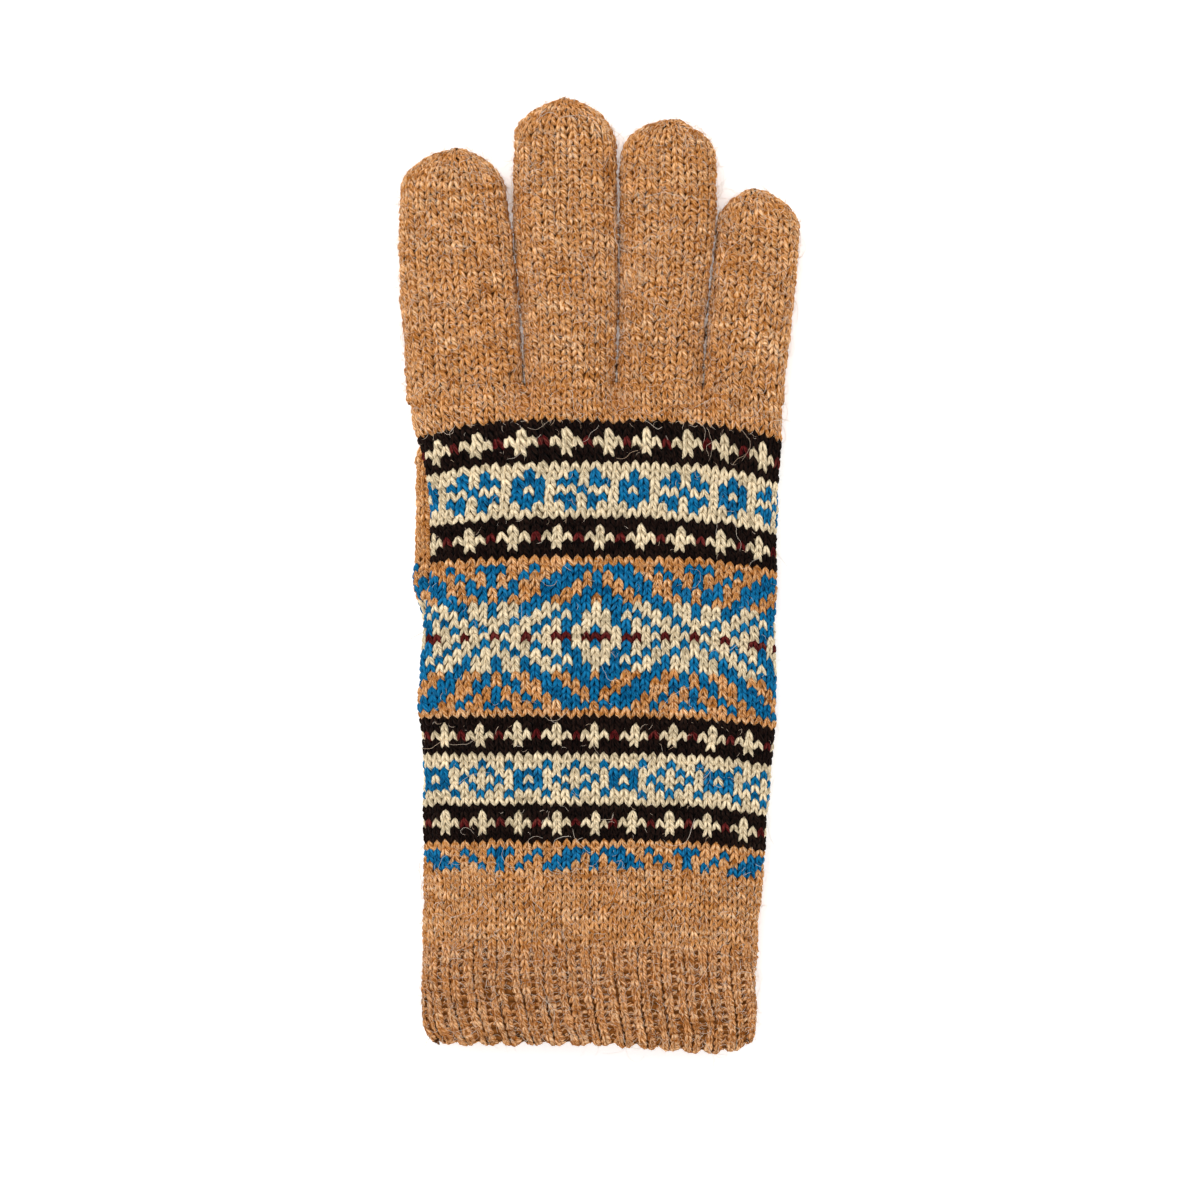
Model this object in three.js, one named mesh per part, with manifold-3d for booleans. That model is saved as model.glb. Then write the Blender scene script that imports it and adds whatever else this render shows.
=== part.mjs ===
// A knitted fair isle glove for the right hand, empty and lying palm down, thumb tucked under the palm.
// Millimetres, +Z up, fingers towards +Y, thumb side towards -X, origin under the middle of the glove.
// Every piece is a hollow knitted tube: the cuff and the hand are open at both ends, and each finger
// is open where it leaves the hand and closed at its tip.
import * as THREE from "three";
import { mergeVertices } from "three/addons/utils/BufferGeometryUtils.js";
import Module from "manifold-3d";

const wasm = await Module();
wasm.setup();

// Driving sizes of the whole glove
const KNIT_WALL = 2.0; // one layer of the doubled yarn
const CLEARANCE = 0.3; // between neighbouring pieces
const CUFF_SEAM_Y = -92.25; // where the rib of the cuff meets the hand
const FINGER_SEAM_Y = 47.75; // where the hand divides into fingers
const THUMB_HEIGHT = 9.0;

// How round a lying tube is
const SECTION_POWER = 2.6; // 2 is an ellipse, more is squarer
const WAIST_SHARE = 0.42; // height of the widest point, as a share of the tube's height
const FLAT_SHARE = 1.25; // how far the underside would bulge if the surface did not flatten it
const OUTLINE_STEPS = 180;

// The thumb lies under the palm, so the hand is lifted over it: its underside follows the thumb
// closely, and its back stretches over the step in a longer and softer slope.
const PALM_SQUEEZE = 2.0; // how much flatter the hand is where it lies on the thumb
const UNDERSIDE_LIFT = {
  height: THUMB_HEIGHT + CLEARANCE,
  across: { full: -21, none: 3 },
  start: { none: -50, full: -6 },
  end: { full: 31, none: 52 },
};
const BACK_LIFT = {
  height: THUMB_HEIGHT + CLEARANCE - PALM_SQUEEZE,
  across: { full: -30, none: 20 },
  start: { none: -62, full: 2 },
  end: { full: 26, none: 76 },
};

// Creases that run from the gaps between the fingers into the back of the hand
const CREASES = [
  { between: "index and middle", x: -18.4 },
  { between: "middle and ring", x: 4.5 },
  { between: "ring and little", x: 26.1 },
];
const CREASE = { depth: 3.4, underside: 1.2, halfWidth: 3.2, length: 12 };

// Rib of the cuff: two knit stitches stand up beside one purl stitch that sinks
const RIB_COUNT = 30;
const RIB_DEPTH = 0.8;
const RIB_FADE = 7;
const RIB_POINTS = 3; // one on the purl stitch and one on each knit stitch
const SCALLOP = 0.35;

// Outline of the hand, from the fingers down to the cuff
const HAND_ROWS = [
  { y: 47.75, left: -47.9, right: 46.6, height: 10.6 },
  { y: 39, left: -46.4, right: 45.9, height: 11 },
  { y: 29, left: -43.6, right: 45.6, height: 11.3 },
  { y: 14, left: -41.9, right: 44.5, height: 11.6 },
  { y: 1, left: -42.0, right: 44.9, height: 11.8 },
  { y: -11, left: -43.4, right: 44.4, height: 11.8 },
  { y: -31, left: -44.9, right: 44.6, height: 11.8 },
  { y: -46, left: -44.0, right: 43.4, height: 11.6 },
  { y: -71, left: -43.9, right: 41.6, height: 11.2 },
  { y: -92.25, left: -43.9, right: 39.7, height: 10.8 },
];

// Outline of the cuff, and the hem, which is pulled up at both folds
const CUFF_ROWS = [
  { y: -92.25, left: -43.9, right: 39.7, height: 10.8 },
  { y: -99, left: -44.7, right: 39.8, height: 10.8 },
  { y: -110, left: -44.8, right: 39.7, height: 10.6 },
  { y: -119.75, left: -44.8, right: 40.0, height: 10.4 },
];
const HEM = [
  { x: -44.8, y: -108.5 },
  { x: -43.6, y: -113.5 },
  { x: -41.6, y: -116 },
  { x: -38, y: -117.2 },
  { x: 0, y: -117.4 },
  { x: 15, y: -118.3 },
  { x: 27, y: -119.4 },
  { x: 34, y: -118.6 },
  { x: 38, y: -116.6 },
  { x: 40, y: -113.5 },
];

// Fingers and thumb: outline rows from the root to where the round tip starts, and the tip
const FINGERS = [
  {
    name: "index_finger",
    rows: [
      { y: 47.75, left: -47.9, right: -18.55, height: 10.8 },
      { y: 66.5, left: -49.25, right: -19.75, height: 10.8 },
      { y: 80, left: -49.9, right: -21.05, height: 10.6 },
      { y: 96, left: -49.9, right: -23.0, height: 10.2 },
    ],
    tip: { x: -35.9, y: 107.25 },
  },
  {
    name: "middle_finger",
    rows: [
      { y: 47.75, left: -18.25, right: 4.35, height: 10.2 },
      { y: 66.5, left: -19.45, right: 4.95, height: 10.4 },
      { y: 89.5, left: -21.5, right: 4.85, height: 10.2 },
      { y: 108.5, left: -21.15, right: 4.4, height: 9.8 },
    ],
    tip: { x: -8.4, y: 119.75 },
  },
  {
    name: "ring_finger",
    rows: [
      { y: 47.75, left: 4.65, right: 25.95, height: 10 },
      { y: 68.5, left: 5.25, right: 27.25, height: 10.2 },
      { y: 90.25, left: 5.15, right: 29.45, height: 10 },
      { y: 105, left: 5.3, right: 29.4, height: 9.6 },
    ],
    tip: { x: 18.3, y: 114.5 },
  },
  {
    name: "little_finger",
    rows: [
      { y: 47.75, left: 26.25, right: 46.6, height: 9.8 },
      { y: 60.25, left: 27.05, right: 48, height: 9.8 },
      { y: 78, left: 28.75, right: 49.8, height: 9.6 },
      { y: 87.75, left: 29.55, right: 50.1, height: 9.2 },
    ],
    tip: { x: 39.2, y: 97.25 },
  },
];
const THUMB = {
  name: "thumb",
  rows: [
    { y: -33, left: -42.2, right: -19.6, height: THUMB_HEIGHT },
    { y: -13, left: -43.2, right: -20.0, height: THUMB_HEIGHT },
    { y: -6, left: -45.4, right: -20.4, height: THUMB_HEIGHT },
    { y: -1, left: -46.6, right: -20.4, height: THUMB_HEIGHT },
    { y: 5, left: -46.0, right: -20.4, height: THUMB_HEIGHT },
    { y: 28.5, left: -45.9, right: -20.4, height: THUMB_HEIGHT },
  ],
  tip: { x: -33.2, y: 39.5 },
};
const TIP_POLE_HEIGHT = 3.4; // the closed end of a finger meets here above the surface

// How finely the surfaces are divided
const HAND_GRID = { around: 56, along: 16 };
const CUFF_GRID = { around: RIB_COUNT * RIB_POINTS, along: 5 };
const FINGER_GRID = { around: 20, along: 6, tip: 4 };

// The hole through the raised palm, where the thumb leaves the hand
const THUMB_HOLE = { fromY: -56, toY: -8, floor: 2.2 };

const COLOURS = { camel: 0xbe8750, patterned: 0x2a6f9e };

const smooth = (t) => THREE.MathUtils.smoothstep(t, 0, 1);

// Value of one column of a table at a place, on a smooth curve through its rows.
function readTable(rows, key, column, place) {
  const ordered = [...rows].sort((a, b) => a[key] - b[key]);
  const last = ordered.length - 1;
  const at = THREE.MathUtils.clamp(place, ordered[0][key], ordered[last][key]);
  let i = 0;
  while (i < last - 1 && ordered[i + 1][key] < at) i += 1;
  const slope = (k) => {
    const before = ordered[Math.max(k - 1, 0)];
    const after = ordered[Math.min(k + 1, last)];
    return (after[column] - before[column]) / (after[key] - before[key]);
  };
  const low = ordered[i];
  const high = ordered[i + 1];
  const span = high[key] - low[key];
  const t = (at - low[key]) / span;
  const t2 = t * t;
  const t3 = t2 * t;
  return (
    (2 * t3 - 3 * t2 + 1) * low[column] +
    (t3 - 2 * t2 + t) * span * slope(i) +
    (3 * t2 - 2 * t3) * high[column] +
    (t3 - t2) * span * slope(i + 1)
  );
}

// How far one face of the hand at (x, y) is lifted by the thumb below it.
function liftAt(lift, x, y) {
  const share = (ramp, place) => smooth((place - ramp.none) / (ramp.full - ramp.none));
  return lift.height * share(lift.across, x) * share(lift.start, y) * share(lift.end, y);
}

// Depth of the finger creases at (x, y), full at the fingers and gone lower on the hand.
function creaseDepth(x, y) {
  const fade = smooth(1 - (FINGER_SEAM_Y - y) / CREASE.length);
  const offsets = CREASES.map((crease) => (x - crease.x) / CREASE.halfWidth);
  return fade * offsets.reduce((sum, offset) => sum + Math.exp(-offset * offset), 0);
}

// Points of a closed outline in the XZ plane, evenly spaced along it, from the right edge over the top.
function evenOutline(pointAt, count) {
  const dense = [];
  for (let i = 0; i <= OUTLINE_STEPS; i += 1) {
    dense.push(pointAt((2 * Math.PI * i) / OUTLINE_STEPS));
  }
  const reached = [0];
  for (let i = 1; i <= OUTLINE_STEPS; i += 1) {
    reached.push(reached[i - 1] + dense[i].distanceTo(dense[i - 1]));
  }
  const points = [];
  let k = 0;
  for (let j = 0; j < count; j += 1) {
    const target = (reached[OUTLINE_STEPS] * j) / count;
    while (reached[k + 1] < target) k += 1;
    const t = (target - reached[k]) / (reached[k + 1] - reached[k]);
    points.push(dense[k].clone().lerp(dense[k + 1], t));
  }
  return points;
}

// Cross-section of a lying tube: rounded at the sides, domed above and flat where it rests.
// `inset` moves the whole section inwards, and gives the inner face of the knitted wall.
function tubeSection({ left, right, height }, inset, count) {
  const centre = (left + right) / 2;
  const half = (right - left) / 2 - inset;
  const waist = height * WAIST_SHARE;
  const up = height - inset - waist;
  const down = (waist - inset) * FLAT_SHARE;
  const power = 2 / SECTION_POWER;
  return evenOutline((angle) => {
    const c = Math.cos(angle);
    const s = Math.sin(angle);
    const x = centre + half * Math.sign(c) * Math.abs(c) ** power;
    const rise = Math.abs(s) ** power;
    const z = s >= 0 ? waist + up * rise : Math.max(waist - down * rise, inset);
    return new THREE.Vector2(x, z);
  }, count);
}

function rowAt(rows, y) {
  return {
    left: readTable(rows, "y", "left", y),
    right: readTable(rows, "y", "right", y),
    height: readTable(rows, "y", "height", y),
  };
}

const stations = (from, to, count) =>
  Array.from({ length: count + 1 }, (_, i) => from + ((to - from) * i) / count);

// Faces between two rings that run the same way round; `inward` turns them over.
function bridge(faces, ringA, ringB, inward = false) {
  const count = ringA.length;
  for (let j = 0; j < count; j += 1) {
    const k = (j + 1) % count;
    const [a, b, c, d] = [ringA[j], ringA[k], ringB[k], ringB[j]];
    if (inward) faces.push(a, b, d, b, c, d);
    else faces.push(a, d, b, b, d, c);
  }
}

function fan(faces, ring, pole, inward = false) {
  ring.forEach((a, j) => {
    const b = ring[(j + 1) % ring.length];
    if (inward) faces.push(a, b, pole);
    else faces.push(a, pole, b);
  });
}

// A geometry that is filled point by point, ring by ring.
class Knitting {
  positions = [];
  faces = [];

  point(p) {
    this.positions.push(p.x, p.y, p.z);
    return this.positions.length / 3 - 1;
  }

  ring(points) {
    return points.map((p) => this.point(p));
  }

  geometry() {
    const geometry = new THREE.BufferGeometry();
    geometry.setAttribute("position", new THREE.Float32BufferAttribute(this.positions, 3));
    geometry.setIndex(this.faces);
    return geometry;
  }
}

// A wall between an outer and an inner skin, open at both ends.
function openTube(outerRings, innerRings) {
  const knit = new Knitting();
  const outer = outerRings.map((ring) => knit.ring(ring));
  const inner = innerRings.map((ring) => knit.ring(ring));
  for (let i = 0; i < outer.length - 1; i += 1) {
    bridge(knit.faces, outer[i], outer[i + 1]);
    bridge(knit.faces, inner[i], inner[i + 1], true);
  }
  bridge(knit.faces, outer[0], inner[0], true);
  bridge(knit.faces, outer.at(-1), inner.at(-1));
  return knit.geometry();
}

// A wall that is open at its first ring and closed at a pole.
function closedTube(outerRings, outerPole, innerRings, innerPole) {
  const knit = new Knitting();
  const outer = outerRings.map((ring) => knit.ring(ring));
  const inner = innerRings.map((ring) => knit.ring(ring));
  for (let i = 0; i < outer.length - 1; i += 1) {
    bridge(knit.faces, outer[i], outer[i + 1]);
    bridge(knit.faces, inner[i], inner[i + 1], true);
  }
  fan(knit.faces, outer.at(-1), knit.point(outerPole));
  fan(knit.faces, inner.at(-1), knit.point(innerPole), true);
  bridge(knit.faces, outer[0], inner[0], true);
  return knit.geometry();
}

// The space that a row of rings encloses, closed at both ends.
function filledTube(rings) {
  const knit = new Knitting();
  const skins = rings.map((ring) => knit.ring(ring));
  for (let i = 0; i < skins.length - 1; i += 1) bridge(knit.faces, skins[i], skins[i + 1]);
  const middle = (ring) =>
    ring.reduce((sum, p) => sum.add(p), new THREE.Vector3()).divideScalar(ring.length);
  fan(knit.faces, skins[0], knit.point(middle(rings[0])), true);
  fan(knit.faces, skins.at(-1), knit.point(middle(rings.at(-1))));
  return knit.geometry();
}

function toSolid(geometry) {
  const merged = mergeVertices(geometry);
  return new wasm.Manifold(
    new wasm.Mesh({
      numProp: 3,
      vertProperties: merged.attributes.position.array,
      triVerts: new Uint32Array(merged.index.array),
    }),
  );
}

function toGeometry(solid) {
  const { vertProperties, triVerts, numProp } = solid.getMesh();
  const positions = [];
  for (let i = 0; i < vertProperties.length; i += numProp) {
    positions.push(vertProperties[i], vertProperties[i + 1], vertProperties[i + 2]);
  }
  const geometry = new THREE.BufferGeometry();
  geometry.setAttribute("position", new THREE.Float32BufferAttribute(positions, 3));
  geometry.setIndex([...triVerts]);
  return geometry;
}

// Lays a flat section at y on whatever lies below it.
function layDown(section, y, height) {
  return section.map(({ x, y: z }) => {
    const lift = THREE.MathUtils.lerp(
      liftAt(UNDERSIDE_LIFT, x, y),
      liftAt(BACK_LIFT, x, y),
      z / height,
    );
    return new THREE.Vector3(x, y, z + lift);
  });
}

function handRing(y, inset) {
  const row = rowAt(HAND_ROWS, y);
  const creased = tubeSection(row, inset, HAND_GRID.around).map(({ x, y: z }) => {
    const above = z > row.height * WAIST_SHARE;
    const depth = creaseDepth(x, y) * (above ? -CREASE.depth : CREASE.underside);
    return new THREE.Vector2(x, z + depth);
  });
  return layDown(creased, y, row.height);
}

function handRings(inset) {
  const from = CUFF_SEAM_Y + CLEARANCE / 2;
  const to = FINGER_SEAM_Y - CLEARANCE / 2;
  return stations(from, to, HAND_GRID.along).map((y) => handRing(y, inset));
}

// The bore of the thumb, carried on through the palm
function thumbBore() {
  const row = rowAt(THUMB.rows, THUMB_HOLE.toY);
  const section = tubeSection(row, KNIT_WALL, FINGER_GRID.around);
  const ringAt = (y) =>
    section.map(({ x, y: z }) => new THREE.Vector3(x, y, Math.max(z, THUMB_HOLE.floor)));
  return filledTube([ringAt(THUMB_HOLE.fromY), ringAt(THUMB_HOLE.toY)]);
}

function hand() {
  const wall = toSolid(openTube(handRings(0), handRings(KNIT_WALL)));
  return toGeometry(wall.subtract(toSolid(thumbBore())));
}

// One ring of the cuff: `share` runs from 0 at the hand to 1 at the hem.
function cuffRing(share, inset) {
  const startY = CUFF_SEAM_Y - CLEARANCE / 2;
  const endY = CUFF_ROWS.at(-1).y;
  const row = rowAt(CUFF_ROWS, startY + (endY - startY) * share);
  const section = tubeSection(row, inset, CUFF_GRID.around);
  return section.map((p, j) => {
    const before = section.at(j - 1);
    const after = section[(j + 1) % section.length];
    const outward = new THREE.Vector2(after.y - before.y, before.x - after.x).normalize();
    const purl = j % RIB_POINTS === 0 ? 1 : 0;
    const hem = readTable(HEM, "x", "y", p.x) + SCALLOP * (2 * purl - 1);
    const y = startY + (hem - startY) * share;
    const sink = inset > 0 ? 0 : RIB_DEPTH * purl * smooth((startY - y) / RIB_FADE);
    const z = Math.max(p.y - outward.y * sink, inset);
    return new THREE.Vector3(p.x - outward.x * sink, y, z);
  });
}

function cuff() {
  const shares = stations(1, 0, CUFF_GRID.along);
  return openTube(
    shares.map((share) => cuffRing(share, 0)),
    shares.map((share) => cuffRing(share, KNIT_WALL)),
  );
}

// Rings of one skin of a finger, and the pole that closes it
function fingerSkin({ rows, tip }, startY, inset, lies) {
  const capStart = rows.at(-1).y;
  const capLength = tip.y - inset - capStart;
  const straight = stations(startY, capStart, FINGER_GRID.along).map((y) => {
    const row = rowAt(rows, y);
    return lies(tubeSection(row, inset, FINGER_GRID.around), y, row.height);
  });
  const row = rows.at(-1);
  const centre = (row.left + row.right) / 2;
  const section = tubeSection(row, inset, FINGER_GRID.around);
  const rounded = stations(0, Math.PI / 2, FINGER_GRID.tip).slice(1, -1).map((angle) => {
    const shrink = Math.cos(angle);
    const y = capStart + capLength * Math.sin(angle);
    const shift = (tip.x - centre) * (1 - shrink);
    const small = section.map(
      (p) =>
        new THREE.Vector2(
          centre + shift + (p.x - centre) * shrink,
          TIP_POLE_HEIGHT + (p.y - TIP_POLE_HEIGHT) * shrink,
        ),
    );
    return lies(small, y, row.height);
  });
  const pole = new THREE.Vector3(tip.x, capStart + capLength, TIP_POLE_HEIGHT);
  return { rings: [...straight, ...rounded], pole };
}

function finger(spec) {
  const startY = FINGER_SEAM_Y + CLEARANCE / 2;
  const outer = fingerSkin(spec, startY, 0, layDown);
  const inner = fingerSkin(spec, startY, KNIT_WALL, layDown);
  return closedTube(outer.rings, outer.pole, inner.rings, inner.pole);
}

// The thumb lies flat on the surface, and its open root is cut slanting along the raised palm.
function thumb() {
  const flat = (section, y) => section.map((p) => new THREE.Vector3(p.x, y, p.y));
  const startY = THUMB.rows[0].y;
  const outer = fingerSkin(THUMB, startY, 0, flat);
  const inner = fingerSkin(THUMB, startY, KNIT_WALL, flat);
  const tube = toSolid(closedTube(outer.rings, outer.pole, inner.rings, inner.pole));
  const palm = toSolid(filledTube(handRings(0))).translate([0, 0, -CLEARANCE]);
  return toGeometry(tube.subtract(palm));
}

function piece(name, geometry, colour) {
  const wool = new THREE.MeshStandardMaterial({ color: colour, roughness: 0.95, metalness: 0 });
  const mesh = new THREE.Mesh(geometry, wool);
  mesh.name = name;
  mesh.geometry.computeVertexNormals();
  return mesh;
}

const glove = new THREE.Group();
glove.add(piece("cuff", cuff(), COLOURS.camel));
glove.add(piece("hand", hand(), COLOURS.patterned));
glove.add(piece("thumb", thumb(), COLOURS.camel));
for (const spec of FINGERS) glove.add(piece(spec.name, finger(spec), COLOURS.camel));

export default glove;
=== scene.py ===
# %% [markdown]
# # A fair isle glove, knitted stitch by stitch
# The real glove is knitted from the finger tips down to the ribbed cuff, in rounds, from a hairy camel
# wool with four more colours in its bands. It could be shown as a smooth shell with a picture of
# knitting on it. Here every stitch is its own small piece of yarn instead, because the outline, the
# shadows between the stitches and the loose hairs are what make wool look like wool.
# The order is: the frame and the camera, the form of the glove, the moulds for the stitches, the
# colour chart, the knitting itself, the fabric behind it, the stray hairs, and the studio.

# %% Load the frame
import math
import bmesh
import bpy
import numpy as np
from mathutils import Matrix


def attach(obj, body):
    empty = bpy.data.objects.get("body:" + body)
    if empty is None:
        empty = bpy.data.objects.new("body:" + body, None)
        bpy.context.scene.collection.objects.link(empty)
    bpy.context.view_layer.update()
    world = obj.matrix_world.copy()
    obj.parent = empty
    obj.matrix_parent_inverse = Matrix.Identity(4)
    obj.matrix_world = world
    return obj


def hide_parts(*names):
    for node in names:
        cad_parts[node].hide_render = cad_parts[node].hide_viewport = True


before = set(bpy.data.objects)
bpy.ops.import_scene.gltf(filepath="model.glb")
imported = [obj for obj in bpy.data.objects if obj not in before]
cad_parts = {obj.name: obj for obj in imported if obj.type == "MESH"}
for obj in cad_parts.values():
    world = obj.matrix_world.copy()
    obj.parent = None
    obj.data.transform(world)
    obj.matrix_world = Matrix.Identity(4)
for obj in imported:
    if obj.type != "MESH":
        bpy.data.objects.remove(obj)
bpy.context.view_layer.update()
MM = 0.001  # Blender's unit here is the metre, and the tables below are in millimetres
print("frame:", sorted(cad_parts))

# %% [markdown]
# ## Camera
# The glove was photographed from straight above with a long lens, fingers up. A camera that looks
# down -Z needs no turning. Its distance and its lens give a view exactly 300 mm wide at the height
# of the glove's edge, so 4 pixels of a 1200 pixel image are one millimetre.

# %% Camera
VIEW_WIDTH = 300 * MM
EDGE_HEIGHT = 5 * MM
SENSOR = 36.0
LENS = 120.0
LOOK_AT = (0.375 * MM, -6.0 * MM)

camera = bpy.data.objects.new("camera", bpy.data.cameras.new("camera"))
camera.data.sensor_width = SENSOR
camera.data.lens = LENS
camera.location = (*LOOK_AT, EDGE_HEIGHT + VIEW_WIDTH * LENS / SENSOR)
bpy.context.scene.collection.objects.link(camera)
bpy.context.scene.camera = camera
print("camera height:", round(camera.location.z, 3), "m")

# %% [markdown]
# ## The form of the glove
# Each tube of the glove is a row of cross-sections. A short table gives its left and right edge and
# its height at a few places, and a smooth curve runs through the rows. These are the same sizes as
# the solids of the frame, so the knitting lies just where they are.

# %% Tables and smooth curves
def table(columns, *rows):
    """A small table, kept as one array for each named column."""
    names = columns.split()
    return {name: np.array([row[i] for row in rows], float) for i, name in enumerate(names)}


def look_up(rows, key, column, place):
    """One column of a table at any place, on a smooth curve through its rows."""
    keys, values = rows[key], rows[column]
    slopes = np.empty_like(values)
    slopes[1:-1] = (values[2:] - values[:-2]) / (keys[2:] - keys[:-2])
    slopes[0] = (values[1] - values[0]) / (keys[1] - keys[0])
    slopes[-1] = (values[-1] - values[-2]) / (keys[-1] - keys[-2])
    place = np.clip(place, keys[0], keys[-1])
    i = np.clip(np.searchsorted(keys, place) - 1, 0, len(keys) - 2)
    span = keys[i + 1] - keys[i]
    t = (place - keys[i]) / span
    return (
        (2 * t**3 - 3 * t**2 + 1) * values[i]
        + (t**3 - 2 * t**2 + t) * span * slopes[i]
        + (3 * t**2 - 2 * t**3) * values[i + 1]
        + (t**3 - t**2) * span * slopes[i + 1]
    )


def smooth(t):
    t = np.clip(t, 0.0, 1.0)
    return t * t * (3.0 - 2.0 * t)


print("a curve through 0, 1, 4 at 1.5:", look_up(table("x y", (0, 0), (1, 1), (2, 4)), "x", "y", 1.5))

# %% [markdown]
# ### The sizes
# The hand runs from the seam with the cuff to the seam with the fingers, both at a fixed y. The hem
# is not straight, so it has a small table of its own. A finger's table stops where its round tip
# begins, and the tip is one more place. The number of wales is the stitches in one round.

# %% Sizes of each tube
CUFF_SEAM = -92.25
FINGER_SEAM = 47.75
HAND = table(
    "y left right height",
    (-92.25, -43.9, 39.7, 10.8),
    (-71.0, -43.9, 41.6, 11.2),
    (-46.0, -44.0, 43.4, 11.6),
    (-31.0, -44.9, 44.6, 11.8),
    (-11.0, -43.4, 44.4, 11.8),
    (1.0, -42.0, 44.9, 11.8),
    (14.0, -41.9, 44.5, 11.6),
    (29.0, -43.6, 45.6, 11.3),
    (39.0, -46.4, 45.9, 11.0),
    (47.75, -47.9, 46.6, 10.6),
)
CUFF = table(
    "y left right height",
    (-119.75, -39.6, 38.0, 10.0),
    (-116.5, -42.0, 39.3, 10.2),
    (-113.5, -44.0, 39.9, 10.4),
    (-109.0, -44.8, 39.9, 10.6),
    (-99.0, -44.7, 39.8, 10.8),
    (-92.25, -43.9, 39.7, 10.8),
)
HEM = table(
    "x y",
    (-44.8, -114.0),
    (-41.6, -116.2),
    (-38.0, -117.2),
    (0.0, -117.4),
    (15.0, -118.3),
    (27.0, -119.5),
    (33.0, -118.9),
    (37.0, -117.7),
    (40.0, -115.9),
)
DIGITS = {
    "index_finger": dict(
        rows=table(
            "y left right height",
            (47.75, -47.9, -18.55, 10.8),
            (66.5, -49.25, -19.75, 10.8),
            (80.0, -49.9, -21.05, 10.6),
            (96.0, -49.9, -23.0, 10.2),
        ),
        tip=(-35.9, 107.25),
        wales=22,
    ),
    "middle_finger": dict(
        rows=table(
            "y left right height",
            (47.75, -18.25, 4.35, 10.2),
            (66.5, -19.45, 4.95, 10.4),
            (89.5, -21.5, 4.85, 10.2),
            (108.5, -21.15, 4.4, 9.8),
        ),
        tip=(-8.4, 119.75),
        wales=20,
    ),
    "ring_finger": dict(
        rows=table(
            "y left right height",
            (47.75, 4.65, 25.95, 10.0),
            (68.5, 5.25, 27.25, 10.2),
            (90.25, 5.15, 29.45, 10.0),
            (105.0, 5.3, 29.4, 9.6),
        ),
        tip=(18.3, 114.5),
        wales=18,
    ),
    "little_finger": dict(
        rows=table(
            "y left right height",
            (47.75, 26.25, 46.6, 9.8),
            (60.25, 27.05, 48.0, 9.8),
            (78.0, 28.75, 49.8, 9.6),
            (87.75, 29.55, 50.1, 9.2),
        ),
        tip=(39.2, 97.25),
        wales=16,
    ),
    "thumb": dict(
        rows=table(
            "y left right height",
            (-33.0, -42.2, -19.6, 9.0),
            (-13.0, -43.2, -20.0, 9.0),
            (-6.0, -45.4, -20.4, 9.0),
            (-1.0, -46.6, -20.4, 9.0),
            (5.0, -46.0, -20.4, 9.0),
            (28.5, -45.9, -20.4, 9.0),
        ),
        tip=(-33.2, 39.5),
        wales=20,
    ),
}
print("tubes:", ["hand", "cuff", *DIGITS])

# %% [markdown]
# ## A cross-section, and a place on it
# An empty tube of knitting lies like a rounded slab: domed above, flat below and round at its folds.
# A superellipse gives that with two numbers. Stitches are all about as wide as each other, so places
# on the section are counted in turns along its length, not by angle: 0 is the right fold, 0.25 the
# top, 0.5 the left fold and 0.75 the underside.

# %% Cross-section of a lying tube
SECTION_POWER = 2.6
WAIST_SHARE = 0.42
FLAT_SHARE = 1.25
OUTLINE_ANGLES = np.linspace(0.0, 2.0 * math.pi, 361)


def outline(left, right, height, turns):
    """Places (x, z) on a section, and how long the section is."""
    cosine, sine = np.cos(OUTLINE_ANGLES), np.sin(OUTLINE_ANGLES)
    power = 2.0 / SECTION_POWER
    waist = height * WAIST_SHARE
    x = (left + right) / 2 + (right - left) / 2 * np.sign(cosine) * np.abs(cosine) ** power
    rise = np.abs(sine) ** power
    above = waist + (height - waist) * rise
    below = np.maximum(waist - waist * FLAT_SHARE * rise, 0.0)
    z = np.where(sine >= 0, above, below)
    reached = np.concatenate(([0.0], np.cumsum(np.hypot(np.diff(x), np.diff(z)))))
    at = np.mod(turns, 1.0) * reached[-1]
    return np.interp(at, reached, x), np.interp(at, reached, z), reached[-1]


def edges(rows, y):
    return [look_up(rows, "y", column, y) for column in ("left", "right", "height")]


def moved_section(rows, v, y, x, z):
    """Takes a section point from row v to row y, which differ a little where the courses bow."""
    left, right, height = edges(rows, v)
    new_left, new_right, new_height = edges(rows, y)
    share = (x - (left + right) / 2) / (right - left)
    return (new_left + new_right) / 2 + share * (new_right - new_left), z * new_height / height


left, right, height = edges(HAND, 0.0)
print("the hand's middle section is", round(float(right - left), 1), "mm wide")

# %% [markdown]
# ## What bends the fabric
# Three things shape the tubes further. The thumb lies under the palm and lifts what is above it.
# Creases run down from between the fingers. And the courses, which are the rows of stitches, bow
# down at both folds, because the fabric was pulled there. All three are plain functions of place.

# %% Lift, creases and bow
UNDERSIDE_LIFT = dict(height=9.3, across=(3, -21), start=(-50, -6), end=(52, 31))
BACK_LIFT = dict(height=7.3, across=(20, -30), start=(-62, 2), end=(76, 26))
CREASES = (-18.4, 4.5, 26.1)
CREASE_DEPTH = 3.4
CREASE_UNDERSIDE = 1.2
CREASE_HALF_WIDTH = 3.2
CREASE_LENGTH = 12.0
BOW_REACH = 45.0
BOW_POWER = 3.0
BOW = table(
    "y left right",
    (-92.25, 0.3, 2.2),
    (-71.0, 0.6, 3.4),
    (-16.0, 0.6, 3.4),
    (14.0, 2.8, 4.2),
    (34.0, 4.2, 5.0),
    (47.75, 3.0, 3.2),
    (60.0, 1.6, 1.6),
    (80.0, 0.4, 0.4),
    (110.0, 0.0, 0.0),
)


def lift(rule, x, y):
    """How far one face of the glove is raised at (x, y); each pair runs from none to full."""
    shares = [
        smooth((place - none) / (full - none))
        for place, (none, full) in ((x, rule["across"]), (y, rule["start"]), (y, rule["end"]))
    ]
    return rule["height"] * shares[0] * shares[1] * shares[2]


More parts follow.
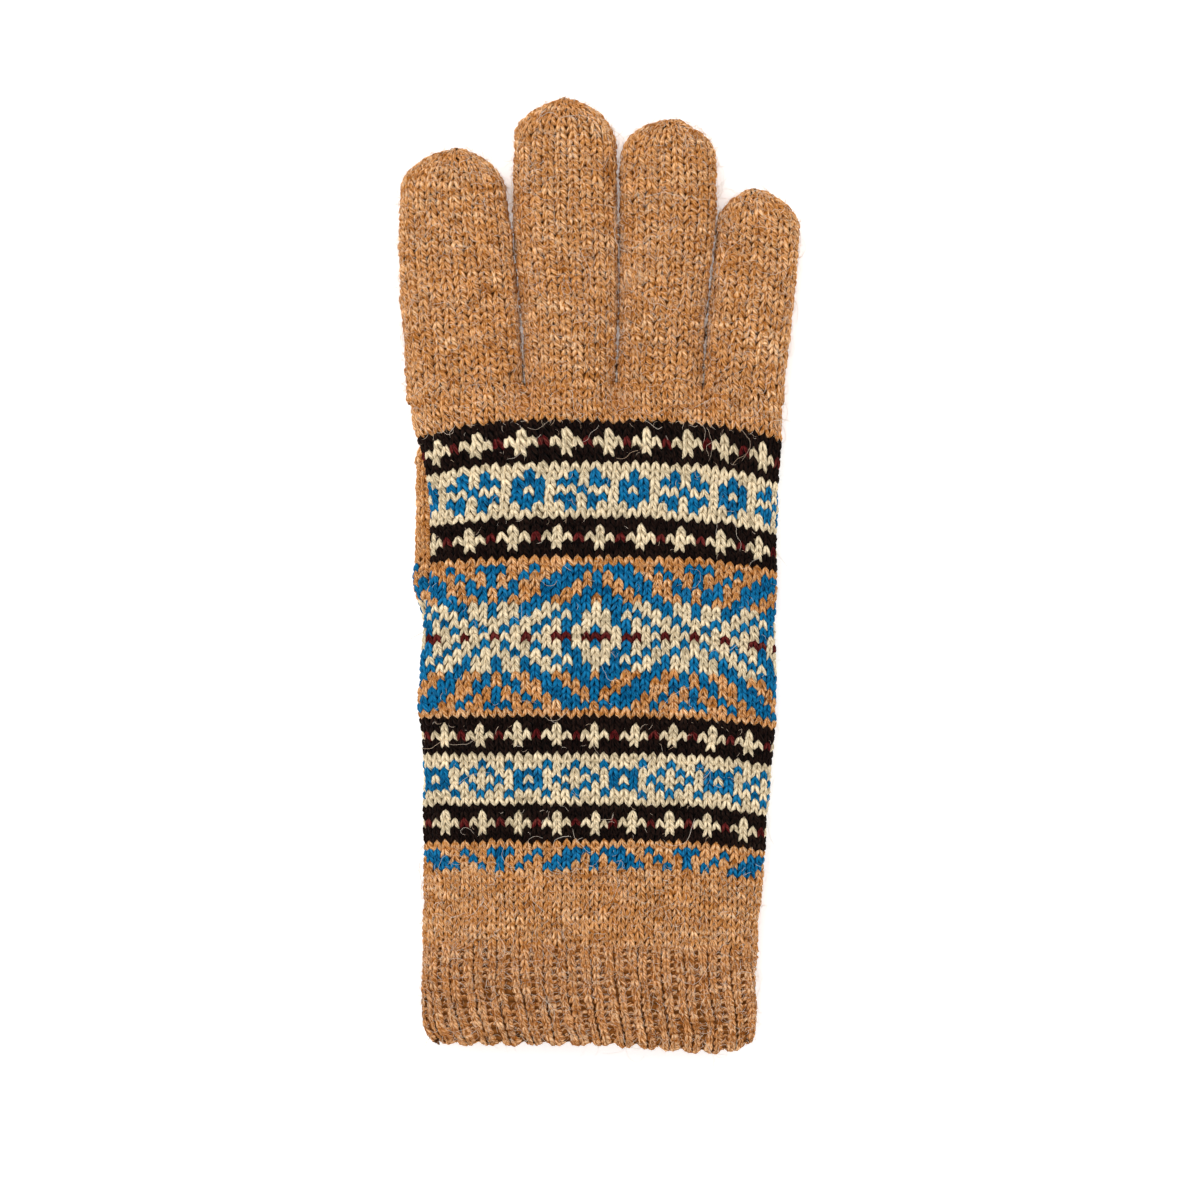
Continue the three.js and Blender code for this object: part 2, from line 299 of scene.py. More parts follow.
def lie_down(x, y, z, height):
    share = z / height
    raised = z + lift(UNDERSIDE_LIFT, x, y) * (1 - share) + lift(BACK_LIFT, x, y) * share
    return np.stack(np.broadcast_arrays(x, y, raised), axis=-1)


def crease(x, y, z, height):
    """Depth of the creases, taken off the back and added to the underside."""
    fade = smooth(1 - (FINGER_SEAM - y) / CREASE_LENGTH)
    near = sum(np.exp(-(((x - line) / CREASE_HALF_WIDTH) ** 2)) for line in CREASES)
    above = z > height * WAIST_SHARE
    return z + fade * near * np.where(above, -CREASE_DEPTH, CREASE_UNDERSIDE)


def bow(x, v):
    side = np.where(x < 0, look_up(BOW, "y", "left", v), look_up(BOW, "y", "right", v))
    return side * np.abs(x / BOW_REACH) ** BOW_POWER


print("over the thumb the palm is", float(lift(UNDERSIDE_LIFT, -30.0, 0.0)), "mm up")

# %% [markdown]
# ## Places on the hand and the cuff
# A tube is now a function: give it a course (v, in millimetres along the glove) and turns round it,
# and it gives places in space. The cuff sinks at its purl stitches, and at the hem it turns round
# the edge of the fabric and a little way back inside.

# %% Places on the hand and the cuff
RIBS = 30
RIB_DEPTH = 1.4  # of the purl gutter between two ribs
GROOVE_DEPTH = 0.75  # of the groove between the two knit columns of a rib
GROOVE_SHARPNESS = 8
RIB_FADE = 17.0
RIB_LEAN = 2.4 / 186.0  # turns that the ribs lean over by, from the seam to the hem
SCALLOP = 1.3
SCALLOP_SHARPNESS = 5
SCALLOP_LENGTH = 7.0
HEM_RADIUS = 1.0
HEM_V = -118.75
TURN_STEP = 1e-3
COURSE_STEP = 0.05


def cuff_y(x, v):
    """The cuff's courses go from the bowed seam to the curved hem."""
    share = (CUFF_SEAM - v) / (CUFF_SEAM - HEM_V)
    seam = CUFF_SEAM - bow(x, CUFF_SEAM)
    hem = look_up(HEM, "x", "y", x) + HEM_RADIUS
    return seam + (hem - seam) * share


def rib_lean(v):
    return RIB_LEAN * smooth((CUFF_SEAM - v) / (CUFF_SEAM - HEM_V))


def body_ring(v, turns):
    """Places on the hand and the cuff, which are one tube."""
    straight = max(v, HEM_V)
    rows = HAND if straight >= CUFF_SEAM else CUFF
    x, z, _ = outline(*edges(rows, straight), turns)
    y = straight - bow(x, straight) if straight >= CUFF_SEAM else cuff_y(x, straight)
    x, z = moved_section(rows, straight, y, x, z)
    height = look_up(rows, "y", "height", y)
    z = crease(x, y, z, height)
    if straight < CUFF_SEAM:
        ahead = outline(*edges(rows, straight), turns + TURN_STEP)
        behind = outline(*edges(rows, straight), turns - TURN_STEP)
        out = np.stack([ahead[1] - behind[1], behind[0] - ahead[0]])
        out /= np.linalg.norm(out, axis=0)
        purl = 0.5 + 0.5 * np.cos(2 * math.pi * RIBS * (turns + rib_lean(straight)))
        near_hem = smooth((HEM_V + SCALLOP_LENGTH - straight) / SCALLOP_LENGTH)
        y = y + SCALLOP * purl**SCALLOP_SHARPNESS * near_hem
        relief = RIB_DEPTH * purl + GROOVE_DEPTH * (1 - purl) ** GROOVE_SHARPNESS
        sink = relief * smooth((CUFF_SEAM - straight) / RIB_FADE)
        past = HEM_V - min(v, HEM_V)
        angle = min(past / HEM_RADIUS, math.pi)
        sink = sink + HEM_RADIUS * (1 - math.cos(angle))
        y = y - HEM_RADIUS * math.sin(angle) + max(past - math.pi * HEM_RADIUS, 0.0)
        x = x - out[0] * sink
        z = z - out[1] * sink
    return lie_down(x, y, z, height)


print("the middle of the back is at", body_ring(0.0, np.array([0.25])).round(1)[0], "mm")

# %% [markdown]
# ## Places on the fingers and the thumb
# A finger closes in a round tip. At its root it takes over the heights of the hand's own back and
# palm, creases included, so that the fabric runs on from one tube into the other.

# %% Places on the fingers and the thumb
TIP_HEIGHT = 3.4
TIP_SHARPNESS = 1.4  # above 1 the tip is narrower than an ellipse
TIP_STRETCH = 1.3  # how much longer the way over a round tip is than the tip itself
ROOT_BLEND = 10.0  # over this length a finger grows out of the hand's own faces


def hand_faces(x):
    """Heights of the hand's back and palm at the finger seam, creases included."""
    left, right, height = edges(HAND, FINGER_SEAM)
    waist = height * WAIST_SHARE
    share = np.clip(np.abs(x - (left + right) / 2) / ((right - left) / 2), 0.0, 1.0)
    rise = (1 - share**SECTION_POWER) ** (1 / SECTION_POWER)
    near = sum(np.exp(-(((x - line) / CREASE_HALF_WIDTH) ** 2)) for line in CREASES)
    back = waist + (height - waist) * rise - CREASE_DEPTH * near
    palm = np.maximum(waist - waist * FLAT_SHARE * rise, 0.0) + CREASE_UNDERSIDE * near
    return back, palm


def digit_end(digit):
    """The course at which the round tip closes."""
    start = digit["rows"]["y"][-1]
    return start + (digit["tip"][1] - start) * TIP_STRETCH


def digit_ring(digit, v, turns, lies=True):
    rows = digit["rows"]
    tip_x, tip_y = digit["tip"]
    start = rows["y"][-1]
    straight = min(v, start)
    left, right, height = edges(rows, straight)
    x, z, _ = outline(left, right, height, turns)
    y = straight - (bow(x, straight) if lies else 0.0 * x)
    x, z = moved_section(rows, straight, y, x, z)
    if v > start:
        angle = min((v - start) / (digit_end(digit) - start), 1.0) * math.pi / 2
        shrink = math.cos(angle) ** TIP_SHARPNESS
        centre = (left + right) / 2
        x = centre + (x - centre) * shrink + (tip_x - centre) * (1 - shrink)
        z = TIP_HEIGHT + (z - TIP_HEIGHT) * shrink
        y = y + (tip_y - start) * math.sin(angle)
    if not lies:
        return np.stack([x, y, z], axis=-1)
    back, palm = hand_faces(x)
    root = 1 - smooth((y - FINGER_SEAM) / ROOT_BLEND)
    z = z + root * (np.where(z > height * WAIST_SHARE, back, palm) - z)
    return lie_down(x, y, z, height)


def ring_of(name):
    """The place function of a tube, by its name."""
    if name == "body":
        return body_ring
    digit = DIGITS[name]
    return lambda v, turns: digit_ring(digit, v, turns, lies=name != "thumb")


def skin(ring, v, turns, depth=0.0):
    """Places at a depth below a tube's surface, and the way out of it there."""
    along = ring(v + COURSE_STEP, turns) - ring(v - COURSE_STEP, turns)
    around = ring(v, turns + TURN_STEP) - ring(v, turns - TURN_STEP)
    out = np.cross(along, around)
    out /= np.maximum(np.linalg.norm(out, axis=-1, keepdims=True), 1e-12)
    return ring(v, turns) - out * depth, out


print("hand is", round(float(outline(*edges(HAND, 0.0), 0.0)[2]), 1), "mm round")

# %% [markdown]
# ## A guide to wrap the knitting on
# Stitches are easiest to lay out flat, as on a knitter's squared paper. The guide is a mesh of one
# tube that carries two things: a UV map, which says where each bit of it lies on the flat paper, and
# the way out of the surface. Geometry Nodes looks both up and bends the flat knitting round the tube.
# The guide overlaps itself a little at turn 0, so stitches on that line find their place too.

# %% Guide mesh
GUIDE_OVERLAP = 0.06
GUIDE_COLUMNS = 400
GUIDE_PITCH = 1.1


def grid_faces(rows, columns):
    """Faces of a grid whose points run row by row."""
    i, j = np.meshgrid(np.arange(rows - 1), np.arange(columns - 1), indexing="ij")
    a = (i * columns + j).ravel()
    return np.stack([a, a + columns, a + columns + 1, a + 1], axis=1)


def mesh_object(name, points, faces):
    mesh = bpy.data.meshes.new(name)
    mesh.from_pydata(np.asarray(points).tolist(), [], [list(map(int, face)) for face in faces])
    made = bpy.data.objects.new(name, mesh)
    bpy.context.scene.collection.objects.link(made)
    return made


def count_triangles(made):
    return sum(len(face.vertices) - 2 for face in made.data.polygons)


def add_attribute(made, name, kind, domain, values):
    attribute = made.data.attributes.new(name, kind, domain)
    field = {"FLOAT": "value", "FLOAT_VECTOR": "vector", "FLOAT_COLOR": "color", "FLOAT2": "vector"}
    attribute.data.foreach_set(field[kind], np.asarray(values, np.float32).ravel())


def guide_mesh(name, low, high):
    ring = ring_of(name)
    rows = max(int((high - low) / GUIDE_PITCH), 8)
    turns = np.linspace(-GUIDE_OVERLAP, 1 + GUIDE_OVERLAP, GUIDE_COLUMNS + 1)
    courses = np.linspace(low, high, rows + 1)
    placed = [skin(ring, v, turns) for v in courses]
    points = np.array([place for place, _ in placed]).reshape(-1, 3) * MM
    ways_out = np.array([out for _, out in placed]).reshape(-1, 3)
    faces = grid_faces(len(courses), len(turns))
    made = mesh_object("guide_" + name, points, faces)
    add_attribute(made, "out", "FLOAT_VECTOR", "POINT", ways_out)
    across, up = np.meshgrid(np.linspace(0, 1, len(turns)), np.linspace(0, 1, len(courses)))
    flat = np.stack([across.ravel(), up.ravel()], axis=1)
    add_attribute(made, "paper", "FLOAT2", "CORNER", flat[faces.ravel()])
    return made


print("a guide has", GUIDE_COLUMNS, "faces round it")

# %% [markdown]
# ## Nodes, written like formulas
# A node tree built in a script is easiest to read when each node is one call that gives back its
# output. Sockets are found by the name that Blender shows, among those that are in use.

# %% Helpers for node trees
def socket(sockets, key):
    if isinstance(key, int):
        return sockets[key]
    return next(s for s in sockets if s.enabled and s.name == key)


def add(tree, kind, inputs=None, out=0, **settings):
    """Adds a node, fills its inputs with values or other nodes' outputs, and gives an output."""
    made = tree.nodes.new(kind)
    for name, value in settings.items():
        setattr(made, name, value)
    for key, value in (inputs or {}).items():
        target = socket(made.inputs, key)
        if isinstance(value, bpy.types.NodeSocket):
            tree.links.new(value, target)
        else:
            target.default_value = value
    return made if out is None else socket(made.outputs, out)


def calc(tree, operation, *values):
    return add(tree, "ShaderNodeMath", dict(enumerate(values)), operation=operation)


def random_value(tree, low, high, seed, kind="FLOAT"):
    inputs = {"Min": low, "Max": high, "Seed": seed}
    return add(tree, "FunctionNodeRandomValue", inputs, out="Value", data_type=kind)


def named(tree, name, kind):
    inputs = {"Name": name}
    return add(tree, "GeometryNodeInputNamedAttribute", inputs, out="Attribute", data_type=kind)


def new_tree(name, inputs):
    """A Geometry Nodes tree with a geometry going in and out, and named inputs of its own."""
    tree = bpy.data.node_groups.new(name, "GeometryNodeTree")
    tree.interface.new_socket("Geometry", in_out="INPUT", socket_type="NodeSocketGeometry")
    tree.interface.new_socket("Geometry", in_out="OUTPUT", socket_type="NodeSocketGeometry")
    for label, kind in inputs.items():
        tree.interface.new_socket(label, in_out="INPUT", socket_type="NodeSocket" + kind)
    return tree, tree.nodes.new("NodeGroupInput").outputs


def run_tree(made, tree, values, name):
    """Runs a tree on an object and gives back a plain mesh object of what came out."""
    modifier = made.modifiers.new("nodes", "NODES")
    modifier.node_group = tree
    for item in tree.interface.items_tree:
        if item.in_out == "INPUT" and item.name in values:
            modifier[item.identifier] = values[item.name]
    graph = bpy.context.evaluated_depsgraph_get()
    mesh = bpy.data.meshes.new_from_object(made.evaluated_get(graph))
    mesh.name = name
    result = bpy.data.objects.new(name, mesh)
    bpy.context.scene.collection.objects.link(result)
    bpy.data.objects.remove(made)
    return result


# %% [markdown]
# ## Yarn as a tapered strand
# A bit of yarn is a tube along a few points, with a point at each end so that it is closed. Five
# sides are enough at this size. Each strand carries two maps: "ply" runs round and along the yarn,
# and its fibres are drawn by it, and "crest" says how far up in the fabric a point is, which the
# wool uses to paint shade: the lower a place, the darker it is painted.

# %% A strand of yarn
STRAND_SIDES = 5


def strand(points, radii, sides=STRAND_SIDES, flatten=1.0):
    """Points, faces and ply map of a closed strand; the first and last points are its ends."""
    points = np.asarray(points, float)
    tangents = np.gradient(points, axis=0)
    tangents /= np.linalg.norm(tangents, axis=1, keepdims=True)
    side = np.cross(tangents, (0.0, 0.0, 1.0))
    side /= np.maximum(np.linalg.norm(side, axis=1, keepdims=True), 1e-9)
    up = np.cross(side, tangents)
    length = np.concatenate(([0.0], np.cumsum(np.linalg.norm(np.diff(points, axis=0), axis=1))))
    angles = 2 * math.pi * np.arange(sides) / sides
    rings = len(points) - 2
    body = [
        points[i] + radii[i] * (math.cos(a) * side[i] + flatten * math.sin(a) * up[i])
        for i in range(1, rings + 1)
        for a in angles
    ]
    vertices = [points[0], *body, points[-1]]
    last = len(vertices) - 1
    faces, ply = [], []
    for k in range(sides):
        n = (k + 1) % sides
        near, far = k / sides, (k + 1) / sides
        faces.append((0, 1 + n, 1 + k))
        ply += [(near, 0.0), (far, length[1]), (near, length[1])]
        for i in range(rings - 1):
            a = 1 + i * sides
            faces.append((a + k, a + n, a + sides + n, a + sides + k))
            low, high = length[i + 1], length[i + 2]
            ply += [(near, low), (far, low), (far, high), (near, high)]
        a = 1 + (rings - 1) * sides
        faces.append((a + k, a + n, last))
        ply += [(near, length[-2]), (far, length[-2]), (near, length[-1])]
    return vertices, faces, ply


def mould(name, strands, low, high):
    """One object made of several strands, in millimetres, kept in metres."""
    vertices, faces, ply = [], [], []
    for part_vertices, part_faces, part_ply in strands:
        offset = len(vertices)
        vertices += list(part_vertices)
        faces += [tuple(i + offset for i in face) for face in part_faces]
        ply += part_ply
    made = mesh_object(name, np.array(vertices) * MM, faces)
    add_attribute(made, "ply", "FLOAT2", "CORNER", ply)
    # crest: height in the fabric, which the wool turns into painted shade
    crest = (np.array(vertices)[:, 2] - low) / (high - low)
    add_attribute(made, "crest", "FLOAT", "POINT", crest)
    return made


short_length = [(0, 0, 0), (0, 1, 0), (0, 2, 0), (0, 3, 0)]
print("a short strand has", len(strand(short_length, [0, 1, 1, 0])[1]), "faces")

# %% [markdown]
# ## The stitch
# A knit stitch shows two legs of yarn. The glove is knitted from the finger tips down, so its
# stitches stand on their heads: the legs meet at the top, where they come out over the row before,
# and spread towards the cuff, where they dive under the next row. In the ribs of the cuff the fabric
# draws together, so there the legs are fuller and steeper. A purl stitch is one small arch across.
# No two stitches of wool are quite alike, so there are a few moulds of each kind with the points
# moved a little, and the knitting picks from them.

# %% Stitch moulds
WALE = 2.4  # width of a stitch
COURSE = 140.0 / 74  # height of a row
STITCH_MOULDS = 8
STITCH_SHAKE = 0.06
LEG = table(
    "across up height radius",
    (0.02, 1.00, -0.55, 0.0),
    (0.06, 0.68, 0.22, 0.40),
    (0.175, 0.27, 0.56, 0.54),
    (0.30, -0.16, 0.60, 0.56),
    (0.41, -0.57, 0.28, 0.46),
    (0.46, -0.92, -0.50, 0.0),
)
RIB_LEG = table(
    "across up height radius",
    (0.03, 1.05, -0.55, 0.0),
    (0.09, 0.70, 0.26, 0.44),
    (0.19, 0.28, 0.58, 0.60),
    (0.28, -0.18, 0.60, 0.62),
    (0.35, -0.62, 0.30, 0.50),
    (0.40, -1.00, -0.50, 0.0),
)
PURL = table(
    "across up height radius",
    (-0.62, -0.14, -0.3, 0.0),
    (-0.34, 0.02, 0.42, 0.52),
    (0.0, 0.12, 0.60, 0.64),
    (0.34, 0.02, 0.42, 0.52),
    (0.62, -0.14, -0.3, 0.0),
)

YARN_FLATTEN = 0.9
STITCH_LOW = -0.2  # heights between which the crest map runs from 0 to 1
STITCH_HIGH = 1.05
BOTH_LEGS = (-1, 1)
ONE_ARCH = (1,)

dice = np.random.default_rng(7)


def leg(rows, side, shake):
    places = np.stack([side * rows["across"] * WALE, rows["up"] * COURSE, rows["height"]], axis=1)
    places[1:-1] += dice.normal(0.0, shake, places[1:-1].shape)
    return strand(places, rows["radius"] * (1 + dice.normal(0.0, shake)), flatten=YARN_FLATTEN)


def mould_collection(name, makers):
    """Keeps moulds in a collection that is not in the scene, so they are never rendered."""
    box = bpy.data.collections.new(name)
    for made in makers:
        bpy.context.scene.collection.objects.unlink(made)
        box.objects.link(made)
    return box


def stitch_moulds(kind, rows, sides):
    return mould_collection(
        kind + " moulds",
        [
            mould(
                f"{kind}_{number}",
                [leg(rows, side, STITCH_SHAKE) for side in sides],
                STITCH_LOW,
                STITCH_HIGH,
            )
            for number in range(STITCH_MOULDS)
        ],
    )


knit_moulds = stitch_moulds("knit", LEG, BOTH_LEGS)
rib_moulds = stitch_moulds("rib", RIB_LEG, BOTH_LEGS)
purl_moulds = stitch_moulds("purl", PURL, ONE_ARCH)

# %% [markdown]
# ## The wool
# Each stitch brings its own colour and a random tone, and one material serves all of them. The
# camel yarn is a melange: pale fibres lie among brown ones, more in some lengths than in others. So
# a fine noise mixes pale hairs into the colour, stretched along the courses, a coarse one varies the
# whole, and the fibres and the hairs go into the bump. Deep places are painted darker, as painted
# shade, and richer in colour. A little sheen gives the pale rim that hairy wool has where it turns
# away.

# %% Helpers for materials
HAIR = (0.80, 0.58, 0.36, 1.0)
SHEEN_ROUGHNESS = 0.5


def map_range(tree, value, low, high, start=0.0, end=1.0):
    """A number from start to end stretched to run from low to high."""
    inputs = {"Value": value, "From Min": start, "From Max": end, "To Min": low, "To Max": high}
    return add(tree, "ShaderNodeMapRange", inputs, out="Result")


def mix_colour(tree, factor, first, second, blend="MIX"):
    inputs = {"Factor": factor, "A": first, "B": second}
    return add(tree, "ShaderNodeMix", inputs, out="Result", data_type="RGBA", blend_type=blend)


def noise(tree, place, scale=1.0, detail=2.0, roughness=0.5):
    inputs = {"Vector": place, "Scale": scale, "Detail": detail, "Roughness": roughness}
    return add(tree, "ShaderNodeTexNoise", inputs, out=0)


def stretched(tree, place, scale):
    inputs = {"Vector": place, "Scale": scale}
    return add(tree, "ShaderNodeMapping", inputs, out="Vector")


def shader_attribute(tree, name, out):
    return add(tree, "ShaderNodeAttribute", out=out, attribute_name=name)


def add_bump(tree, principled, height, distance):
    bump = {"Height": height, "Strength": 1.0, "Distance": distance}
    tree.links.new(add(tree, "ShaderNodeBump", bump, out="Normal"), principled.inputs["Normal"])


def new_material(name, roughness, specular, sheen):
    material = bpy.data.materials.new(name)
    material.use_nodes = True
    principled = material.node_tree.nodes["Principled BSDF"]
    principled.inputs["Roughness"].default_value = roughness
    principled.inputs["Specular IOR Level"].default_value = specular
    principled.inputs["Sheen Weight"].default_value = sheen
    principled.inputs["Sheen Roughness"].default_value = SHEEN_ROUGHNESS
    return material, material.node_tree, principled


# %% [markdown]
# ### From fibres to a yarn
# The fibres are drawn along each strand and wind round it, from its ply map. Four things make a
# place brighter or darker: the tone of its stitch, the melange, the fibres, and how deep it lies.
# The first three are the yarn's own colour; the last is painted shade. Each has a row in the table:
# the lowest and highest factor, and the part of its range they cover.

# %% Yarn material
FIBRES_ROUND = 8.0
FIBRE_WIND = 1.2
FIBRE_STRETCH = 0.7
TONE_SHIFT = 90.0  # takes the fibres of each stitch from another part of the noise
SPECK_SCALE = 3200.0
MELANGE_SCALE = (60.0, 420.0, 200.0)
PALE_FIBRES = (0.47, 0.62)
PALE_SPECKS = (0.55, 0.75)
PALE_AMOUNT = (0.25, 0.95, 0.3, 0.7)
BRIGHTNESS = dict(
    tone=(0.93, 1.07, 0.0, 1.0),
    melange=(0.92, 1.08, 0.3, 0.7),
    fibres=(0.54, 1.36, 0.36, 0.64),
    # painted shade: the lower a place lies in the fabric, the darker it is painted
    crest=(0.12, 1.05, 0.1, 0.72),
)
# the colour of the painted shade is richer in deep places
RICHNESS = (1.45, 1.0, 0.2, 1.0)  # gamma of the colour, from deep places to open ones
DOWN_SCALES = (430.0, 610.0)
DOWN_SHIFT = 7.0
DOWN_WIDTH = 0.02
DOWN_AMOUNT = (0.3, 0.8, 0.35, 0.6)
YARN_BUMP = 0.22 * MM


def wool(name):
    material, tree, principled = new_material(name, roughness=0.95, specular=0.05, sheen=0.02)
    place = add(tree, "ShaderNodeTexCoord", out="Object")
    yarn = shader_attribute(tree, "yarn", "Color")
    halo = shader_attribute(tree, "yarn", "Alpha")
    tone = shader_attribute(tree, "tone", "Fac")
    crest = shader_attribute(tree, "crest", "Fac")

    # Fibres run along the yarn and wind round it; the tone keeps one stitch unlike the next
    ply = add(tree, "ShaderNodeUVMap", out="UV", uv_map="ply")
    parts = add(tree, "ShaderNodeSeparateXYZ", {0: ply}, out=None)
    around = calc(tree, "MULTIPLY", parts.outputs[0], FIBRES_ROUND)
    winding = calc(tree, "MULTIPLY_ADD", parts.outputs[1], FIBRE_WIND, around)
    along = calc(tree, "MULTIPLY", parts.outputs[1], FIBRE_STRETCH)
    fibre_place = {0: winding, 1: along, 2: calc(tree, "MULTIPLY", tone, TONE_SHIFT)}
    fibre_place = add(tree, "ShaderNodeCombineXYZ", fibre_place)
    fibres = noise(tree, fibre_place, 1.0, 2.0, 0.6)
    specks = noise(tree, place, SPECK_SCALE, 2.0, 0.6)
    melange = noise(tree, stretched(tree, place, MELANGE_SCALE), 1.0, 3.0)

    # Pale hairs among the fibres, more of them where the melange is pale
    pale = map_range(tree, fibres, 0.0, 1.0, *PALE_FIBRES)
    pale_specks = map_range(tree, specks, 0.0, 0.8, *PALE_SPECKS)
    pale = calc(tree, "MAXIMUM", pale, pale_specks)
    amount = calc(tree, "MULTIPLY", map_range(tree, melange, *PALE_AMOUNT), halo)
    haired = mix_colour(tree, calc(tree, "MULTIPLY", pale, amount), yarn, HAIR)

    # tone, melange and fibres are the yarn's own colour; the crest factor is painted shade
    bright = 1.0
    sources = dict(tone=tone, melange=melange, fibres=fibres, crest=crest)
    for source, span in BRIGHTNESS.items():
        bright = calc(tree, "MULTIPLY", bright, map_range(tree, sources[source], *span))

    # Painted shade is richer in colour, as light that comes back out of a deep place has met more wool
    depth = map_range(tree, bright, *RICHNESS)
    rich = add(tree, "ShaderNodeGamma", {"Color": haired, "Gamma": depth})
    grey = add(tree, "ShaderNodeCombineColor", {0: bright, 1: bright, 2: bright}, out="Color")
    colour = mix_colour(tree, 1.0, rich, grey, "MULTIPLY")

    # Down: thin wandering lines, where a smooth noise passes through its middle value
    down = 0.0
    for number, scale in enumerate(DOWN_SCALES):
        shift = number * DOWN_SHIFT
        moved = add(tree, "ShaderNodeVectorMath", {0: place, 1: (shift, 0, shift)}, operation="ADD")
        off = calc(tree, "ABSOLUTE", calc(tree, "SUBTRACT", noise(tree, moved, scale, 1.5), 0.5))
        line = map_range(tree, off, 1.0, 0.0, 0.0, DOWN_WIDTH)
        down = calc(tree, "MAXIMUM", down, line)
    down = calc(tree, "MULTIPLY", down, map_range(tree, melange, *DOWN_AMOUNT))
    colour = mix_colour(tree, calc(tree, "MULTIPLY", down, halo), colour, HAIR)
    tree.links.new(colour, principled.inputs["Base Color"])

    height = calc(tree, "MULTIPLY_ADD", specks, 0.4, fibres)
    height = calc(tree, "MULTIPLY_ADD", down, 0.5, height)
    add_bump(tree, principled, height, YARN_BUMP)
    return material


camel_wool = wool("camel wool")
patterned_wool = wool("patterned wool")
print("wool:", len(camel_wool.node_tree.nodes), "nodes")

# %% [markdown]
# ### The back of the fabric, and the loose fibres
# Behind the stitches lies a plain wall. Its own map counts the stitches, and two waves along that
# map raise a low bump for each, as on the back of knitting, with painted shade between the bumps.
# Loose fibres are a plain pale brown.

# %% Two plainer materials
WALL_SPECK_SCALE = 2400.0
WALL_BUMP = 0.5 * MM
DARK_FIBRE = (0.66, 0.46, 0.30, 1.0)
PALE_FIBRE = (0.92, 0.80, 0.68, 1.0)


def wall_wool(name):
    """The fabric behind the stitches: the same yarns, darker, with purl bumps and painted shade
    between.
    """
    material, tree, principled = new_material(name, roughness=0.95, specular=0.1, sheen=0.0)
    yarn = shader_attribute(tree, "yarn", "Color")
    cell = add(tree, "ShaderNodeUVMap", out="UV", uv_map="cell")
    parts = add(tree, "ShaderNodeSeparateXYZ", {0: cell}, out=None)
    waves = []
    for i in range(2):
        wave = calc(tree, "MULTIPLY", parts.outputs[i], math.pi)
        waves.append(calc(tree, "ABSOLUTE", calc(tree, "SINE", wave)))
    bumps = calc(tree, "MULTIPLY", *waves)
    place = add(tree, "ShaderNodeTexCoord", out="Object")
    specks = noise(tree, place, WALL_SPECK_SCALE, 3.0, 0.6)
    # painted shade: the wall is painted darker between its bumps; the specks are the wool's own tone
    raised = map_range(tree, bumps, 0.5, 1.05)
    bright = calc(tree, "MULTIPLY", raised, map_range(tree, specks, 0.6, 1.4))
    grey = add(tree, "ShaderNodeCombineColor", {0: bright, 1: bright, 2: bright}, out="Color")
    tree.links.new(mix_colour(tree, 1.0, yarn, grey, "MULTIPLY"), principled.inputs["Base Color"])
    height = calc(tree, "MULTIPLY_ADD", specks, 0.3, bumps)
    add_bump(tree, principled, height, WALL_BUMP)
    return material


def stray_wool(name):
    """Loose fibres, pale against the yarn they have worked out of."""
    material, tree, principled = new_material(name, roughness=0.7, specular=0.3, sheen=0.0)
    tone = shader_attribute(tree, "tone", "Fac")
    colour = mix_colour(tree, tone, DARK_FIBRE, PALE_FIBRE)
    tree.links.new(colour, principled.inputs["Base Color"])
    return material


back_of_stitches = wall_wool("back of the stitches")
loose_hair = stray_wool("loose hair")
print("materials:", [m.name for m in bpy.data.materials])

# %% [markdown]
# ## The tree that knits
# The flat layout comes in as loose points, one for each stitch, with its colour and its size. The
# tree puts a random mould on each point, turns and scales it a little, makes the copies real, shakes
# the whole sheet softly so that the rows wander as hand-made ones do, and wraps it on the guide.

# %% Knitting tree
WANDER_SCALE = 120.0
PAPER_EDGE = 0.001  # the guide is never read quite at its ends
knit_tree, knit_in = new_tree(
    "Knit on a guide",
    {
        "Moulds": "Collection",
        "Guide": "Object",
        "Around": "Float",
        "Low": "Float",
        "High": "Float",
        "Depth": "Float",
        "Shake": "Float",
        "Wander": "Float",
        "Uneven": "Float",
        "Seed": "Int",
        "Yarn": "Material",
    },
)


def about(tree, centre, amount, seed):
    """A random number that is at most the amount away from the centre."""
    low = calc(tree, "SUBTRACT", centre, amount)
    return random_value(tree, low, calc(tree, "ADD", centre, amount), seed)


